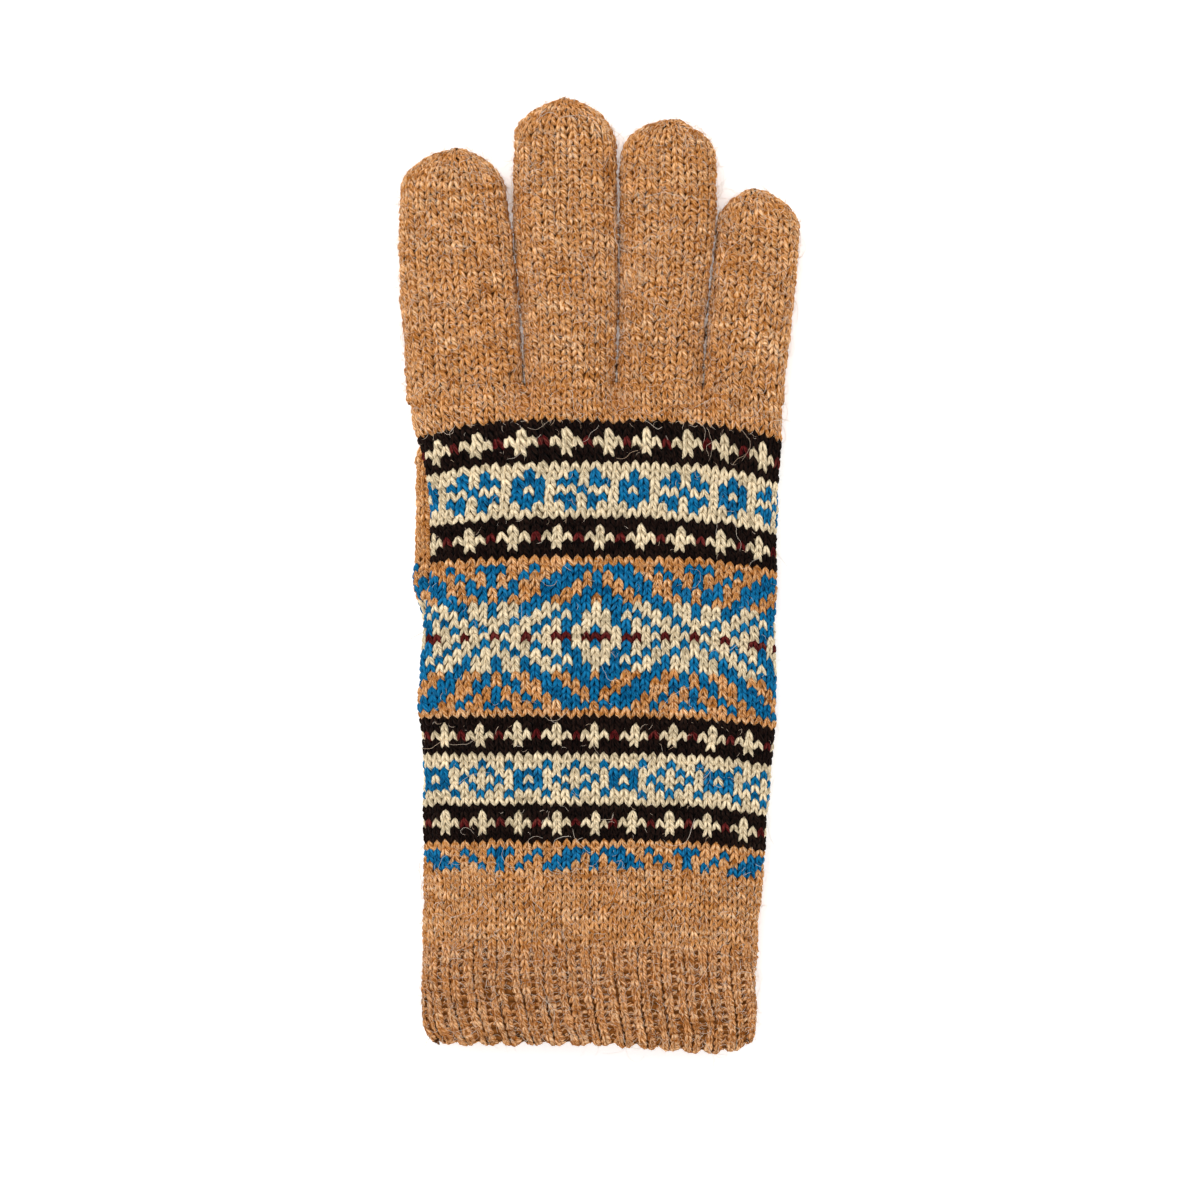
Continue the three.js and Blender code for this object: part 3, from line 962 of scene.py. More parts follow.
def build_knit_tree(tree, given):
    seed = given["Seed"]
    moulds = {"Collection": given["Moulds"], "Separate Children": True, "Reset Children": True}
    moulds = add(tree, "GeometryNodeCollectionInfo", moulds)
    pick = random_value(tree, 0, STITCH_MOULDS - 1, seed, "INT")
    tilt = about(tree, 0.0, given["Shake"], calc(tree, "ADD", seed, 1))
    rotation = add(tree, "ShaderNodeCombineXYZ", {"Z": tilt})
    size = about(tree, 1.0, given["Shake"], calc(tree, "ADD", seed, 2))
    lift_by = about(tree, 0.0, given["Uneven"], calc(tree, "ADD", seed, 4))
    lift_by = add(tree, "ShaderNodeCombineXYZ", {"Z": lift_by})
    points = {"Geometry": given["Geometry"], "Offset": lift_by}
    points = add(tree, "GeometryNodeSetPosition", points)
    fit = named(tree, "fit", "FLOAT_VECTOR")
    scale = add(tree, "ShaderNodeVectorMath", {0: fit, "Scale": size}, operation="SCALE")
    stitches = {
        "Points": points,
        "Instance": moulds,
        "Pick Instance": True,
        "Instance Index": pick,
        "Rotation": rotation,
        "Scale": scale,
    }
    stitches = add(tree, "GeometryNodeInstanceOnPoints", stitches)
    tone = random_value(tree, 0.0, 1.0, calc(tree, "ADD", seed, 3))
    stitches = add(
        tree,
        "GeometryNodeStoreNamedAttribute",
        {"Geometry": stitches, "Name": "tone", "Value": tone},
        data_type="FLOAT",
        domain="INSTANCE",
    )
    sheet = add(tree, "GeometryNodeRealizeInstances", {"Geometry": stitches})

    place = add(tree, "GeometryNodeInputPosition")
    waves = {"Vector": place, "Scale": WANDER_SCALE, "Detail": 1.0}
    waves = add(tree, "ShaderNodeTexNoise", waves, out="Color")
    waves = add(tree, "ShaderNodeVectorMath", {0: waves, 1: (0.5, 0.5, 0.5)}, operation="SUBTRACT")
    waves = add(tree, "ShaderNodeVectorMath", {0: waves, "Scale": given["Wander"]}, operation="SCALE")
    wandered = add(tree, "ShaderNodeVectorMath", {0: place, 1: waves}, operation="ADD")
    flat = add(tree, "ShaderNodeSeparateXYZ", {0: wandered}, out=None)
    turn = calc(tree, "DIVIDE", flat.outputs["X"], given["Around"])
    across = calc(tree, "DIVIDE", calc(tree, "ADD", turn, GUIDE_OVERLAP), 1 + 2 * GUIDE_OVERLAP)
    span = calc(tree, "SUBTRACT", given["High"], given["Low"])
    up = calc(tree, "DIVIDE", calc(tree, "SUBTRACT", flat.outputs["Y"], given["Low"]), span)
    up = add(tree, "ShaderNodeClamp", {"Value": up, "Min": PAPER_EDGE, "Max": 1 - PAPER_EDGE})
    on_paper = add(tree, "ShaderNodeCombineXYZ", {"X": across, "Y": up})
    guide = {"Object": given["Guide"]}
    guide = add(tree, "GeometryNodeObjectInfo", guide, out="Geometry")
    paper = named(tree, "paper", "FLOAT_VECTOR")

    def sample(value):
        inputs = {"Mesh": guide, "Value": value, "UV Map": paper, "Sample UV": on_paper}
        return add(
            tree, "GeometryNodeSampleUVSurface", inputs, out="Value", data_type="FLOAT_VECTOR"
        )

    base = sample(add(tree, "GeometryNodeInputPosition"))
    out = sample(named(tree, "out", "FLOAT_VECTOR"))
    height = calc(tree, "ADD", flat.outputs["Z"], given["Depth"])
    raised = add(tree, "ShaderNodeVectorMath", {0: out, "Scale": height}, operation="SCALE")
    wrapped = add(tree, "ShaderNodeVectorMath", {0: base, 1: raised}, operation="ADD")
    knitted = {"Geometry": sheet, "Position": wrapped}
    knitted = add(tree, "GeometryNodeSetPosition", knitted)
    knitted = add(tree, "GeometryNodeSetShadeSmooth", {"Geometry": knitted})
    knitted = add(tree, "GeometryNodeSetMaterial", {"Geometry": knitted, "Material": given["Yarn"]})
    tree.links.new(knitted, tree.nodes.new("NodeGroupOutput").inputs[0])


build_knit_tree(knit_tree, knit_in)
print("knitting tree:", len(knit_tree.nodes), "nodes")

# %% [markdown]
# ## The colour chart
# A knitter reads the pattern from a chart, one letter for each stitch: K camel, B blue, W cream,
# D brown-black, M maroon. Only the small repeats are written down. The star bands repeat after 4
# stitches, the two flower bands after 10, and the wide middle band after 20, where one half
# mirrors the other. Rows run from the fingers to the cuff, and column 0 is the middle of the glove.

# %% Colour chart
STARS = ("DDDD", "WDDD", "WWMW", "WDDD", "DDDD")
ROSE_AND_CROSS = (
    "WWWWWWWWWW",
    "WWWBWWWBWB",
    "BWBBBWBBWB",
    "WWBWBWWWBW",
    "BWBBBWBBWB",
    "WWWBWWWBWB",
    "WWWWWWWWWW",
)
SQUARE_AND_DIAMOND = (
    "WWWWWWWWWW",
    "WBWWWBWWBW",
    "WWBBBWWBWB",
    "BWBWBWBWWW",
    "WWBBBWWBWB",
    "WBWWWBWWBW",
    "WWWWWWWWWW",
)
HALF_MIDDLE = (
    "KKKKKKKKKKK",
    "KBBBKKBKKBB",
    "BKBBBKKBKKB",
    "BKKBBBKKBKB",
    "BBKKBBKKBBK",
    "KBBKKBBKKBK",
    "WBBBWWBBWWB",
    "WWBWBWWBWWB",
    "WWBBWBWWBWW",
    "BWWBWWBWWBW",
    "MMWMMWWMWWM",
)


def mirrored(half):
    """A row of 11 stitches becomes the whole repeat of 20."""
    return half + half[-2:0:-1]


MIDDLE = tuple(mirrored(row) for row in HALF_MIDDLE + HALF_MIDDLE[-2::-1])
CHART = (
    *STARS,
    *ROSE_AND_CROSS,
    *STARS,
    *MIDDLE,
    *STARS,
    *SQUARE_AND_DIAMOND,
    *STARS,
    *MIDDLE[:4],
)


def srgb(red, green, blue, halo):
    """A colour as it is seen, turned into the light values that the renderer uses."""
    seen = np.array([red, green, blue]) / 255.0
    light = np.where(seen <= 0.04045, seen / 12.92, ((seen + 0.055) / 1.055) ** 2.4)
    return (*light, halo)


# The fourth number is how much pale hair the yarn holds; R is the camel of the ribs, and P is that
# camel darkened as painted shade for their sunken gutters
YARNS = {
    "K": srgb(199, 130, 60, 0.8),
    "R": srgb(188, 119, 54, 0.8),
    "P": srgb(180, 113, 51, 0.8),
    "B": srgb(0, 108, 156, 0.02),
    "W": srgb(230, 212, 178, 0.25),
    "D": srgb(24, 10, 7, 0.01),
    "M": srgb(88, 16, 20, 0.04),
}
PLAIN_ROWS_ABOVE = 5


def letter(row, column):
    """The yarn of a stitch of the hand; rows outside the chart are plain."""
    row -= PLAIN_ROWS_ABOVE
    if not 0 <= row < len(CHART):
        return "K"
    line = CHART[row]
    return line[column % len(line)]


print("chart:", len(CHART), "rows")

# %% [markdown]
# ## Laying out the hand
# The hand has 76 stitches to the round. On the back they are a little wider at the knuckles and
# narrower at the wrist, because the fabric was pulled that way, and the chart's middle column wanders
# a little. The tables say at which course each row starts, and where some columns lie on it.

# %% Hand layout
HAND_WALES = 76
CUFF_COURSES = 18
CUFF_WALES = 3 * RIBS
BODY_LOW = HEM_V - (CUFF_COURSES * COURSE - (CUFF_SEAM - HEM_V)) - 1.0
BODY_HIGH = FINGER_SEAM + 1.5
BODY_AROUND = 186.0
ROWS = table(
    "row v",
    (0, 47.75),
    (5, 38.55),
    (10, 28.2),
    (17, 14.4),
    (22, 4.75),
    (32.5, -15.1),
    (43, -35.05),
    (48, -44.2),
    (55, -56.8),
    (60, -65.95),
    (64, -73.0),
    (74, -92.25),
)
HAND_COURSES = int(ROWS["row"][-1])
COLUMNS = table(
    "v m14 m12 m8 m4 c0 p4 p8 p12 p14",
    (-92.25, -33.2, -28.8, -19.7, -10.4, -1.1, 8.0, 17.1, 26.2, 30.8),
    (-62.0, -33.5, -29.1, -19.9, -10.4, -0.9, 8.2, 17.5, 26.9, 31.6),
    (-40.5, -33.8, -29.4, -20.1, -10.4, -0.9, 8.9, 18.4, 28.0, 32.8),
    (-15.1, -35.3, -30.7, -20.6, -10.3, -0.6, 9.4, 19.2, 29.0, 33.9),
    (9.75, -37.3, -32.0, -21.1, -10.25, 0.4, 10.4, 20.4, 30.4, 35.5),
    (32.75, -35.9, -30.3, -19.2, -8.0, 2.4, 11.9, 22.2, 31.4, 36.4),
    (47.75, -35.6, -30.0, -19.0, -7.9, 2.4, 12.0, 22.3, 31.6, 36.6),
)
SEEN = np.array([-14, -12, -8, -4, 0, 4, 8, 12, 14], float)
HALF_TURN = np.linspace(0.0, 0.5, 241)


def hand_turns(v, columns):
    """Where columns lie round the hand on the course v."""
    x = body_ring(v, HALF_TURN)[:, 0]
    seen_x = [look_up(COLUMNS, "v", name, v) for name in list(COLUMNS)[1:]]
    seen_turn = np.interp(-np.array(seen_x), -x, HALF_TURN)
    reach = SEEN[-1]
    pitch = (1 - (seen_turn[0] - seen_turn[-1])) / (HAND_WALES - 2 * reach)
    back = look_up({"c": SEEN, "t": seen_turn}, "c", "t", columns)
    past = np.maximum(np.abs(columns) - reach, 0) * np.sign(columns)
    return back - past * pitch


def lattice(name, stitches):
    """Loose points on the flat layout, from (turn, v, yarn, width, height) rows."""
    turns, courses, yarns, widths, heights = (np.array(part) for part in zip(*stitches))
    points = np.stack([turns * BODY_AROUND, courses, np.zeros(len(turns))], axis=1) * MM
    made = mesh_object(name, points, np.zeros((0, 3), int))
    add_attribute(made, "yarn", "FLOAT_COLOR", "POINT", yarns)
    fit = np.stack([widths, heights, np.ones(len(widths))], axis=1)
    add_attribute(made, "fit", "FLOAT_VECTOR", "POINT", fit)
    return made


def hand_stitches(rows):
    columns = np.arange(-HAND_WALES // 2, HAND_WALES // 2)
    for row in rows:
        top, v, bottom = (look_up(ROWS, "row", "v", row + part) for part in (0, 0.5, 1))
        turns = hand_turns(v, columns)
        edge_turns = hand_turns(v, np.arange(len(columns) + 1) + columns[0] - 0.5)
        for i, column in enumerate(columns):
            width = (edge_turns[i] - edge_turns[i + 1]) * BODY_AROUND / WALE
            height = (top - bottom) / COURSE
            yield turns[i] % 1.0, v, YARNS[letter(row, column)], width, height


print("stitches in the hand:", HAND_WALES * HAND_COURSES)

# %% [markdown]
# ### Laying out the cuff
# Each of the 30 ribs starts at its purl gutter and has two knit columns. At the rim the columns close
# over the gutters, and one cast-off row goes round the hem. The first rows are tucked a little under
# the hand, so no gap shows at the seam.

# %% Cuff layout
KNIT_OFFSETS = (0.28, 0.72)  # the two knit columns of a rib, in shares of its width
KNIT_SHARE = 0.405
RIM_OFFSETS = (0.25, 0.75)
RIM_SHARE = 0.5
PURL_OFFSETS = (0.0,)
PURL_SHARE = 0.27
RIB_WIDTH = BODY_AROUND / RIBS / WALE
CAST_OFFS = 3 * RIBS
CAST_OFF_V = HEM_V - HEM_RADIUS * math.pi / 2
CAST_OFF_WIDTH = 1.1 * BODY_AROUND / CAST_OFFS / WALE
SEAM_TUCK = 0.35  # how far the rows at a seam are tucked under, in rows
TUCKED_ROWS = 10


def tuck(row):
    return SEAM_TUCK * max(1 - row / TUCKED_ROWS, 0.0)


def cuff_rows():
    """The course of each row of the cuff, and whether it is at the rim."""
    for row in range(CUFF_COURSES):
        v = CUFF_SEAM - COURSE * (row + 0.5 - tuck(row))
        yield v, v < HEM_V + COURSE / 2


def rib_row(v, offsets, share, yarn):
    """One row of stitches, at the same offsets in each rib; a rib starts at its purl gutter."""
    for number in range(RIBS):
        for offset in offsets:
            turn = (number + offset) / RIBS - rib_lean(v)
            yield turn % 1.0, v, YARNS[yarn], share * RIB_WIDTH, 1.0


def cuff_knits():
    """The knit columns, which close over the gutters at the rim."""
    for v, at_rim in cuff_rows():
        offsets, share = (RIM_OFFSETS, RIM_SHARE) if at_rim else (KNIT_OFFSETS, KNIT_SHARE)
        yield from rib_row(v, offsets, share, "R")


def cuff_purls():
    """The purl stitches in the gutters, and the cast-off row round the hem."""
    for v, at_rim in cuff_rows():
        if not at_rim:
            # painted shade: the gutters' purl stitches take the darker camel P
            yield from rib_row(v, PURL_OFFSETS, PURL_SHARE, "P")
    for number in range(CAST_OFFS):
        turn = number / CAST_OFFS - rib_lean(HEM_V)
        yield turn % 1.0, CAST_OFF_V, YARNS["R"], CAST_OFF_WIDTH, 1.0


print("stitches in the cuff:", len(list(cuff_knits())) + len(list(cuff_purls())))

# %% [markdown]
# ## Knitting the hand and the cuff
# One piece may hold 200,000 triangles, and a stitch has 80, so the hand is knitted in three bands.

# %% Knit the hand and the cuff
CREST_ABOVE = 0.02  # how far the crests stand out of the tube's surface
SHAKE = 0.07  # how much stitches differ in size, and how far they tilt, in radians
WANDER = 1.6  # how far the rows wander
UNEVEN = 0.13  # how much higher or lower one stitch lies than the next
SEEDS = dict(hand=10, cuff_knits=20, cuff_purls=21, digits=30, digit_hairs=120)
body_guide = guide_mesh("body", BODY_LOW, BODY_HIGH)
pieces = {}


def knit(name, stitches, guide, low, high, moulds, material, seed):
    values = {
        "Moulds": moulds,
        "Guide": guide,
        "Around": BODY_AROUND * MM,
        "Low": low * MM,
        "High": high * MM,
        "Depth": (CREST_ABOVE - STITCH_HIGH) * MM,
        "Shake": SHAKE,
        "Wander": WANDER * MM,
        "Uneven": UNEVEN * MM,
        "Seed": seed,
        "Yarn": material,
    }
    made = run_tree(lattice("layout_" + name, stitches), knit_tree, values, name)
    pieces[name] = made
    print(name, count_triangles(made), "triangles")


HAND_BANDS = {
    "hand_knuckle_band": range(0, 25),
    "hand_middle_band": range(25, 50),
    "hand_wrist_band": range(50, HAND_COURSES),
}
body_layout = (body_guide, BODY_LOW, BODY_HIGH)
for number, (name, rows) in enumerate(HAND_BANDS.items()):
    seed = SEEDS["hand"] + number
    knit(name, hand_stitches(rows), *body_layout, knit_moulds, patterned_wool, seed)
ribs = (*body_layout, rib_moulds, camel_wool, SEEDS["cuff_knits"])
gutters = (*body_layout, purl_moulds, camel_wool, SEEDS["cuff_purls"])
knit("cuff_knit_ribs", cuff_knits(), *ribs)
knit("cuff_purl_gutters", cuff_purls(), *gutters)

# %% [markdown]
# ## Knitting the fingers and the thumb
# A finger is the same fabric on a smaller round. Near its tip the rounds get shorter, and the number
# of stitches drops in steps, as a knitter decreases. The thumb's root is hidden in the palm, so the
# stitches that would lie above the palm's underside are left out.

# %% Knit the fingers and the thumb
DECREASES = ((0.72, 1.0), (0.42, 0.7), (0.2, 0.4), (0.0, 0.25))
PATTERNED_THUMB_TOP = 5.0
THUMB_ROOT_GAP = 0.6  # between the stitches of the thumb and the palm that hides its root
DIGIT_COURSE = 1.79
GUIDE_MARGIN = 1.5
TIP_MARGIN = 0.05
TIP_OPENING = 0.3


def shrink_at(digit, v):
    start = digit["rows"]["y"][-1]
    share = max(v - start, 0.0) / (digit_end(digit) - start)
    return math.cos(min(share, 1.0) * math.pi / 2)


def palm_height(x, y):
    """Height of the underside of the hand above the surface."""
    left, right, height = edges(HAND, y)
    share = np.clip(np.abs(x - (left + right) / 2) / ((right - left) / 2), 0, 1)
    rise = (1 - share**SECTION_POWER) ** (1 / SECTION_POWER)
    waist = height * WAIST_SHARE
    return np.maximum(waist - waist * FLAT_SHARE * rise, 0.0) + lift(UNDERSIDE_LIFT, x, y)


def digit_phase(name):
    """Shifts a finger's columns so that its middle one goes on from a column of the hand."""
    digit = DIGITS[name]
    x = ring_of(name)(float(digit["rows"]["y"][0]), HALF_TURN)[:, 0]
    hand_x = body_ring(FINGER_SEAM, hand_turns(FINGER_SEAM, np.arange(-14.0, 15.0)))[:, 0]
    nearest = hand_x[np.argmin(np.abs(hand_x - (x[0] + x[-1]) / 2))]
    return np.interp(-nearest, -x, HALF_TURN) * digit["wales"] % 1.0


def digit_stitches(name, low, high):
    digit = DIGITS[name]
    ring = ring_of(name)
    phase = digit_phase(name) if name != "thumb" else 0.5
    courses = int(round((high - low) / DIGIT_COURSE))
    pitch = (high - low) / courses
    for row in range(courses):
        v = low + pitch * (row + 0.5 - tuck(row))
        share = next(share for least, share in DECREASES if shrink_at(digit, v) >= least)
        wales = max(int(round(digit["wales"] * share)), 4)
        turns = (np.arange(wales) + phase) / wales
        places = ring(v, turns)
        width = BODY_AROUND / wales / WALE
        for column in range(wales):
            x, y, z = places[column]
            if name == "thumb" and z > palm_height(x, y) - THUMB_ROOT_GAP:
                continue
            yield turns[column], v, digit_yarn(name, y, column), width, pitch / COURSE


def digit_yarn(name, y, column):
    """Fingers are plain; the thumb's root carries the hand's pattern on at its own level."""
    if name != "thumb" or y > PATTERNED_THUMB_TOP:
        return YARNS["K"]
    row = np.interp(-y, -ROWS["v"], ROWS["row"])
    return YARNS[letter(int(row), column)]


digit_guides = {}
for number, (name, digit) in enumerate(DIGITS.items()):
    low = float(digit["rows"]["y"][0])
    high = digit_end(digit)
    span = (low - GUIDE_MARGIN, high - TIP_MARGIN)
    digit_guides[name] = guide_mesh(name, *span)
    stitches = digit_stitches(name, low, high - TIP_OPENING)
    seed = SEEDS["digits"] + number
    knit(name + "_knit", stitches, digit_guides[name], *span, knit_moulds, camel_wool, seed)

# %% [markdown]
# ## The fabric behind the stitches
# Between the legs of a stitch one sees into the fabric, not through it: there lie the backs of the
# stitches, and the floats of the colours that are not in use. A closed wall behind the stitches
# stands for them, from just under the yarn to the inside of the glove, in each stitch's own colour,
# darkened as painted shade of the gaps, with painted bounce light where the yarn is pale. It is one
# mesh for each tube, with its ends closed round the edge of the wall.

# %% Backing walls
BACKING_TOP = 1.0  # depths below the surface of the tube
CUFF_BACKING_TOP = 0.7
BACKING_BOTTOM = 1.95
RIM_BACKING_BOTTOM = 1.1
RIM_REACH = 9.0  # how far from the hem the wall is thinner
# painted shade: the wall takes each stitch's colour darkened by this, and PALE_GLOW paints bounce light
# into the gaps of pale yarns
BACKING_SHADE = np.array([0.42, 0.38, 0.34, 1.0])
PALE_GLOW = 0.7  # pale yarns throw more light into the gaps between them
WELD = 1e-6
SEAM_GAP = 0.05
TIP_CAP = 0.4  # the wall of a finger closes this far before its tip
CUFF_WALL_ROWS = 15


def backing(name, ring, edges_v, turns_at, yarn_at, bottom_at, top=BACKING_TOP, tip=False):
    """A closed wall with one face for each stitch on its outer and inner side."""
    outer = np.array([skin(ring, v, turns_at(v), top)[0] for v in edges_v])
    inner = np.array([skin(ring, v, turns_at(v), bottom_at(v))[0] for v in edges_v])
    if tip:
        outer[-1] = outer[-1].mean(axis=0)
        inner[-1] = inner[-1].mean(axis=0)
    rows, columns = outer.shape[:2]
    loop = np.concatenate([outer, inner[::-1]]).reshape(-1, 3) * MM
    faces, yarns, cells = [], [], []
    for i in range(2 * rows):
        if tip and i == rows - 1:
            continue
        n = (i + 1) % (2 * rows)
        row = min(i, rows - 2) if i < rows else max(2 * rows - 2 - i, 0)
        for j in range(columns):
            k = (j + 1) % columns
            faces.append((i * columns + j, n * columns + j, n * columns + k, i * columns + k))
            yarn = np.array(yarn_at(row, j))
            # painted shade of the gaps, lightened for pale yarns as painted bounce light
            yarns += [yarn * BACKING_SHADE * (1 + PALE_GLOW * yarn[1])] * 4
            cells += [(j, i), (j, i + 1), (j + 1, i + 1), (j + 1, i)]
    made = mesh_object(name, loop, faces)
    add_attribute(made, "yarn", "FLOAT_COLOR", "CORNER", yarns)
    add_attribute(made, "cell", "FLOAT2", "CORNER", cells)
    form = bmesh.new()
    form.from_mesh(made.data)
    bmesh.ops.remove_doubles(form, verts=form.verts, dist=WELD)
    bmesh.ops.recalc_face_normals(form, faces=form.faces)
    form.to_mesh(made.data)
    form.free()
    made.data.shade_smooth()
    made.data.materials.append(back_of_stitches)
    pieces[name] = made
    print(name, len(made.data.polygons), "faces")


print("the wall is", round(BACKING_BOTTOM - BACKING_TOP, 2), "mm thick in the hand")

# %% [markdown]
# ### A wall in each tube
# The hand's wall has its faces just behind the stitches, so each face can take the colour of its
# own. The cuff's wall is plain and lies higher, where the gutters would show too deep otherwise.

# %% Walls of the hand, the cuff and the fingers
hand_edges = look_up(ROWS, "row", "v", np.arange(HAND_COURSES + 1.0))
hand_edges[0] -= SEAM_GAP
hand_edges[-1] += SEAM_GAP
hand_edge_columns = np.arange(HAND_WALES) - HAND_WALES // 2 - 0.5
backing(
    "hand_backing",
    body_ring,
    hand_edges,
    lambda v: hand_turns(v, hand_edge_columns),
    lambda row, j: YARNS[letter(row, j - HAND_WALES // 2)],
    lambda v: BACKING_BOTTOM,
)
cuff_edges = np.linspace(CUFF_SEAM - SEAM_GAP, HEM_V, CUFF_WALL_ROWS)
backing(
    "cuff_backing",
    body_ring,
    cuff_edges,
    lambda v: -(np.arange(CUFF_WALES) - 0.5) / CUFF_WALES - rib_lean(v),
    lambda row, j: YARNS["R"],
    lambda v: RIM_BACKING_BOTTOM if v < HEM_V + RIM_REACH else BACKING_BOTTOM,
    top=CUFF_BACKING_TOP,
)
for name, digit in DIGITS.items():
    wales = digit["wales"]
    low = float(digit["rows"]["y"][0]) + SEAM_GAP
    high = digit_end(digit) - TIP_CAP
    digit_edges = np.linspace(low, high, int((high - low) / DIGIT_COURSE))
    ring = ring_of(name)

    def yarn_at(row, j, name=name, ring=ring, digit_edges=digit_edges):
        return digit_yarn(name, ring(digit_edges[row], np.array([0.0]))[0][1], j)

    backing(
        name + "_backing",
        ring,
        digit_edges,
        lambda v: -np.arange(wales) / wales,
        yarn_at,
        lambda v: BACKING_BOTTOM,
        tip=True,
    )

# %% [markdown]
# ## Stray hairs
# Camel wool sheds long pale fibres that stand off the yarn. A second tree scatters them over the
# tubes: it throws random points on the surface, stands a random curl on each, turned and tilted at
# random, and keeps a tone for each one. Short ones make the down, and a few long ones curl across.

# %% Hair moulds
HAIR_RADIUS = 0.045
HAIR_SIDES = 3
HAIR_MOULDS = 8
HAIR_FOOT = -0.5  # a hair starts this far under the surface
HAIR_BED = 0.3 * MM  # hairs lower than this are pressed flat
LONGEST_HAIR = 16.0 * MM
HAIR_SIZES = (0.7, 1.3)
HAIRS = {
    "short": dict(length=(1.4, 3.2), points=4, bend=0.5, rise=(0.8, 1.3), per_m2=500000.0, seed=0),
    "long": dict(length=(6.0, 12.0), points=16, bend=0.42, rise=(0.9, 1.5), per_m2=40000.0, seed=500),
}


def curl(name, length, points, bend, rise):
    """A loose fibre in a wandering arc, from just inside the yarn up and over it."""
    turns = dice.normal(dice.uniform(-bend, bend), bend / 2, points)
    headings = np.cumsum(turns) + dice.uniform(0, 2 * math.pi)
    steps = length / points * np.stack([np.cos(headings), np.sin(headings)], axis=1)
    flat = np.concatenate([[(0.0, 0.0)], np.cumsum(steps, axis=0)])
    share = np.linspace(0.0, 1.0, points + 1)
    z = HAIR_FOOT + rise * np.sin(share * math.pi * dice.uniform(0.55, 1.0)) ** 0.7
    places = np.column_stack([flat, z])
    radii = HAIR_RADIUS * np.concatenate([[0.0], np.linspace(1.0, 0.6, points - 1), [0.0]])
    return mould(name, [strand(places, radii, sides=HAIR_SIDES)], 0.0, 1.0)


hair_moulds = {
    kind: mould_collection(
        kind + " hairs",
        [
            curl(
                f"{kind}_{number}",
                dice.uniform(*hair["length"]),
                hair["points"],
                hair["bend"],
                dice.uniform(*hair["rise"]),
            )
            for number in range(HAIR_MOULDS)
        ],
    )
    for kind, hair in HAIRS.items()
}

# %% [markdown]
# ### The tree that scatters them
# Where a hair would go through the surface that the glove lies on, the tree lays it flat there.

# %% Scattering tree
hair_tree, hair_in = new_tree(
    "Scatter hairs",
    {"Moulds": "Collection", "Density": "Float", "Tilt": "Float", "Seed": "Int", "Yarn": "Material"},
)


def build_hair_tree(tree, given):
    seed = given["Seed"]
    thrown = {"Mesh": given["Geometry"], "Density": given["Density"], "Seed": seed}
    thrown = add(tree, "GeometryNodeDistributePointsOnFaces", thrown, out=None)
    tilt = given["Tilt"]
    back = calc(tree, "MULTIPLY", tilt, -1.0)
    turns = [
        random_value(tree, low, high, calc(tree, "ADD", seed, number))
        for number, (low, high) in enumerate([(back, tilt), (back, tilt), (0.0, 2 * math.pi)], 1)
    ]
    turn = add(tree, "ShaderNodeCombineXYZ", dict(enumerate(turns)))
    stand = {"Rotation": thrown.outputs["Rotation"], "Rotate By": turn}
    stand = add(tree, "FunctionNodeRotateRotation", stand, rotation_space="LOCAL")
    moulds = {"Collection": given["Moulds"], "Separate Children": True, "Reset Children": True}
    moulds = add(tree, "GeometryNodeCollectionInfo", moulds)
    pick = random_value(tree, 0, HAIR_MOULDS - 1, calc(tree, "ADD", seed, 4), "INT")
    hairs = {
        "Points": thrown.outputs["Points"],
        "Instance": moulds,
        "Pick Instance": True,
        "Instance Index": pick,
        "Rotation": stand,
        "Scale": random_value(tree, *HAIR_SIZES, calc(tree, "ADD", seed, 5)),
    }
    hairs = add(tree, "GeometryNodeInstanceOnPoints", hairs)
    tone = random_value(tree, 0.0, 1.0, calc(tree, "ADD", seed, 6))
    hairs = add(
        tree,
        "GeometryNodeStoreNamedAttribute",
        {"Geometry": hairs, "Name": "tone", "Value": tone},
        data_type="FLOAT",
        domain="INSTANCE",
    )
    hairs = add(tree, "GeometryNodeRealizeInstances", {"Geometry": hairs})

    # A hair that would go through the surface lies down on it instead
    place = add(tree, "GeometryNodeInputPosition")
    parts = add(tree, "ShaderNodeSeparateXYZ", {0: place}, out=None)
    pressed = map_range(tree, parts.outputs["Z"], 0.0, HAIR_BED, -LONGEST_HAIR, HAIR_BED)
    height = calc(tree, "MAXIMUM", parts.outputs["Z"], pressed)
    placed = {"X": parts.outputs["X"], "Y": parts.outputs["Y"], "Z": height}
    placed = add(tree, "ShaderNodeCombineXYZ", placed)
    hairs = add(tree, "GeometryNodeSetPosition", {"Geometry": hairs, "Position": placed})
    hairs = add(tree, "GeometryNodeSetShadeSmooth", {"Geometry": hairs})
    hairs = add(tree, "GeometryNodeSetMaterial", {"Geometry": hairs, "Material": given["Yarn"]})
    tree.links.new(hairs, tree.nodes.new("NodeGroupOutput").inputs[0])


build_hair_tree(hair_tree, hair_in)
print("hair tree:", len(hair_tree.nodes), "nodes")

# %% [markdown]
# ### Where the hairs stand
# The plain knitting is hairy all over. The colours of the bands are from a smoother wool, so there
# only a few hairs lie across. Each stretch of a tube gets a short down and some long fibres.

# %% Scatter the hairs
HAIR_TILT = 0.35
CARRIER_TURNS = 73
CARRIER_PITCH = 2.0


def carrier(name, low, high):
    """The skin of a tube as a plain mesh for hairs to stand on."""
    ring = ring_of(name)
    turns = np.linspace(0.0, 1.0, CARRIER_TURNS)
    courses = np.linspace(low, high, max(int((high - low) / CARRIER_PITCH), 8))
    points = np.array([ring(v, turns) for v in courses]).reshape(-1, 3) * MM
    return mesh_object("carrier_" + name, points, grid_faces(len(courses), len(turns)))


def scatter(name, tube, low, high, seed, short_share=1.0, long_share=1.0):
    for kind, share in (("short", short_share), ("long", long_share)):
        values = {
            "Moulds": hair_moulds[kind],
            "Density": HAIRS[kind]["per_m2"] * share,
            "Tilt": HAIR_TILT,
            "Seed": seed + HAIRS[kind]["seed"],
            "Yarn": loose_hair,
        }
        piece = f"{name}_{kind}_hairs"
        made = run_tree(carrier(tube, low, high), hair_tree, values, piece)
        pieces[piece] = made
        print(piece, count_triangles(made), "triangles")


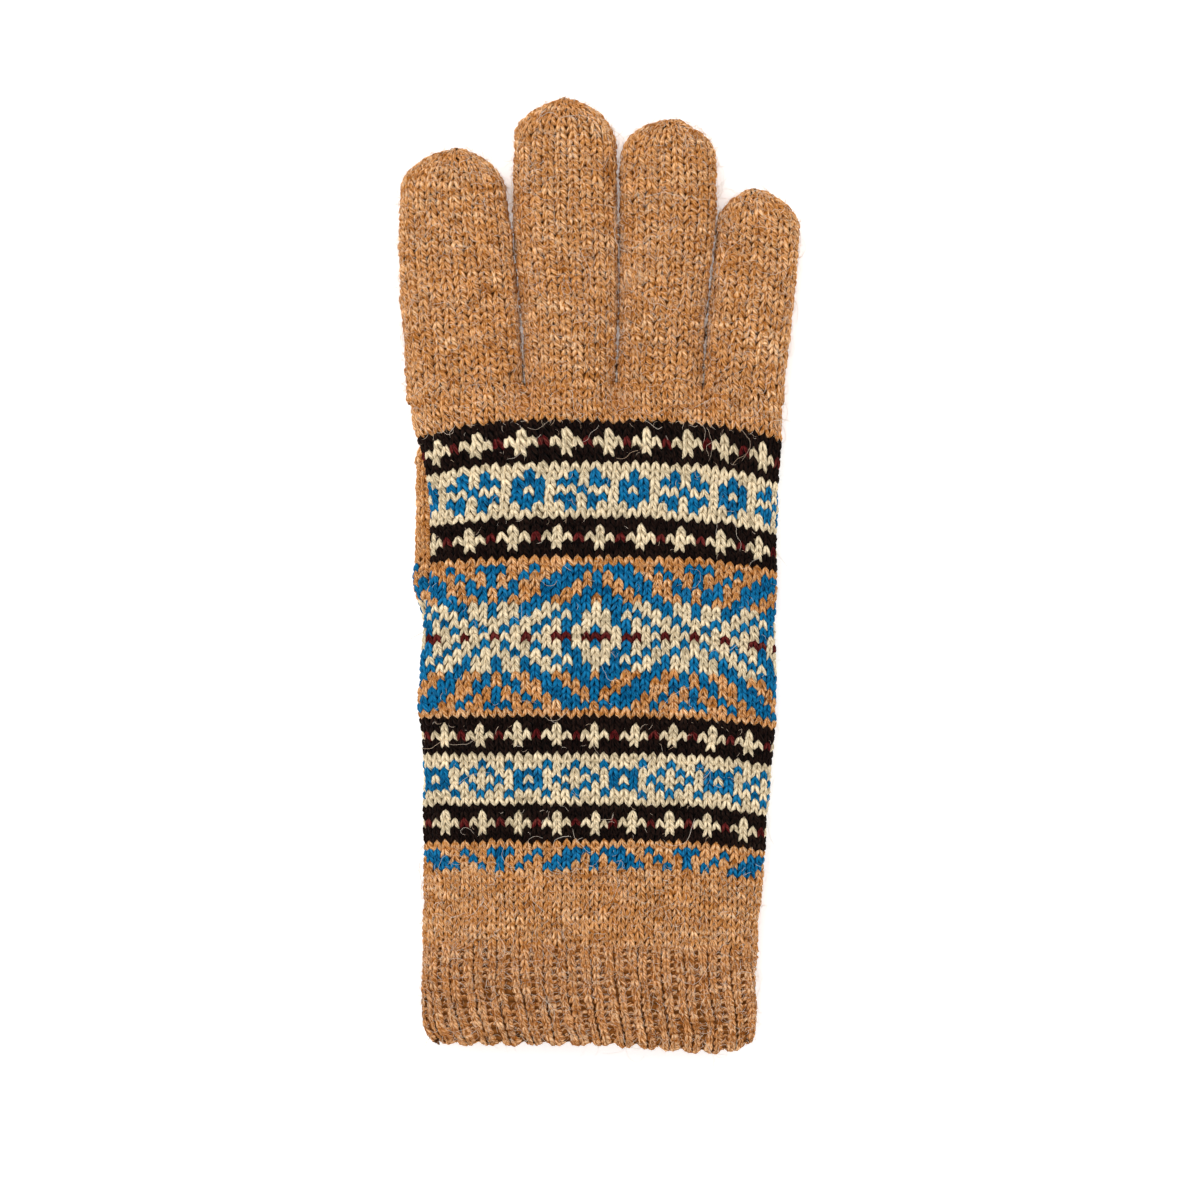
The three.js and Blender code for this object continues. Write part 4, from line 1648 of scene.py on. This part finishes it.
BAND_TOP = 38.0
BAND_BOTTOM = -72.0
BAND_SHORT_SHARE = 0.05
BAND_LONG_SHARE = 0.25
BARE_TIP = 0.5
scatter("hand_knuckles", "body", BAND_TOP, FINGER_SEAM, 100)
scatter("hand_pattern", "body", BAND_BOTTOM, BAND_TOP, 102, BAND_SHORT_SHARE, BAND_LONG_SHARE)
scatter("hand_wrist", "body", CUFF_SEAM, BAND_BOTTOM, 104)
scatter("cuff", "body", HEM_V, CUFF_SEAM, 110)
for number, (name, digit) in enumerate(DIGITS.items()):
    if name != "thumb":
        seed = SEEDS["digit_hairs"] + 10 * number
        scatter(name, name, FINGER_SEAM, digit_end(digit) - BARE_TIP, seed)
print("triangles in all:", sum(count_triangles(made) for made in pieces.values()))

# %% [markdown]
# ## The studio
# The photo shows the glove on pure white, with soft light from all round and a little more from the
# upper left. The floor glows faintly, so it stays white, and a bright world does most of the work.

# %% Floor and light
FLOOR_REACH = 3.0
FLOOR_GLOW = 0.35
WORLD_LIGHT = 0.95
KEY_SIZE = 0.7
KEY_ENERGY = 5.0
KEY_PLACE = (-0.5, 0.8, 1.0)
KEY_TURN = (math.radians(-38), math.radians(-24), 0)

corners = [(x * FLOOR_REACH, y * FLOOR_REACH, 0) for x, y in ((-1, -1), (1, -1), (1, 1), (-1, 1))]
floor = mesh_object("floor", corners, [(0, 1, 2, 3)])
paper, _, paper_shader = new_material("white paper", roughness=0.9, specular=0.1, sheen=0.0)
paper_shader.inputs["Base Color"].default_value = (0.97, 0.97, 0.97, 1.0)
paper_shader.inputs["Emission Color"].default_value = (1.0, 1.0, 1.0, 1.0)
paper_shader.inputs["Emission Strength"].default_value = FLOOR_GLOW
floor.data.materials.append(paper)

world = bpy.data.worlds.new("studio")
world.use_nodes = True
world.node_tree.nodes["Background"].inputs["Color"].default_value = (1, 1, 1, 1)
world.node_tree.nodes["Background"].inputs["Strength"].default_value = WORLD_LIGHT
bpy.context.scene.world = world
bpy.context.scene.view_settings.view_transform = "Standard"

key = bpy.data.lights.new("key", "AREA")
key.size = KEY_SIZE
key.energy = KEY_ENERGY
key_object = bpy.data.objects.new("key", key)
key_object.location = KEY_PLACE
key_object.rotation_euler = KEY_TURN
bpy.context.scene.collection.objects.link(key_object)
print("light:", key.name, "at", KEY_PLACE)

# %% [markdown]
# ## Handing over
# The guides have done their work and go. Every piece of knitting, wall and hair takes the place of
# the solid whose name it starts with, and rides on the one body of the glove.

# %% Hand the pieces over
for guide in digit_guides.values():
    bpy.data.objects.remove(guide)
bpy.data.objects.remove(body_guide)
NODES = ("hand", "cuff", *DIGITS)
for name, made in pieces.items():
    node = next(node for node in NODES if name.startswith(node))
    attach(made, "root")
    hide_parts(node)

print("pieces handed over:", len(pieces))
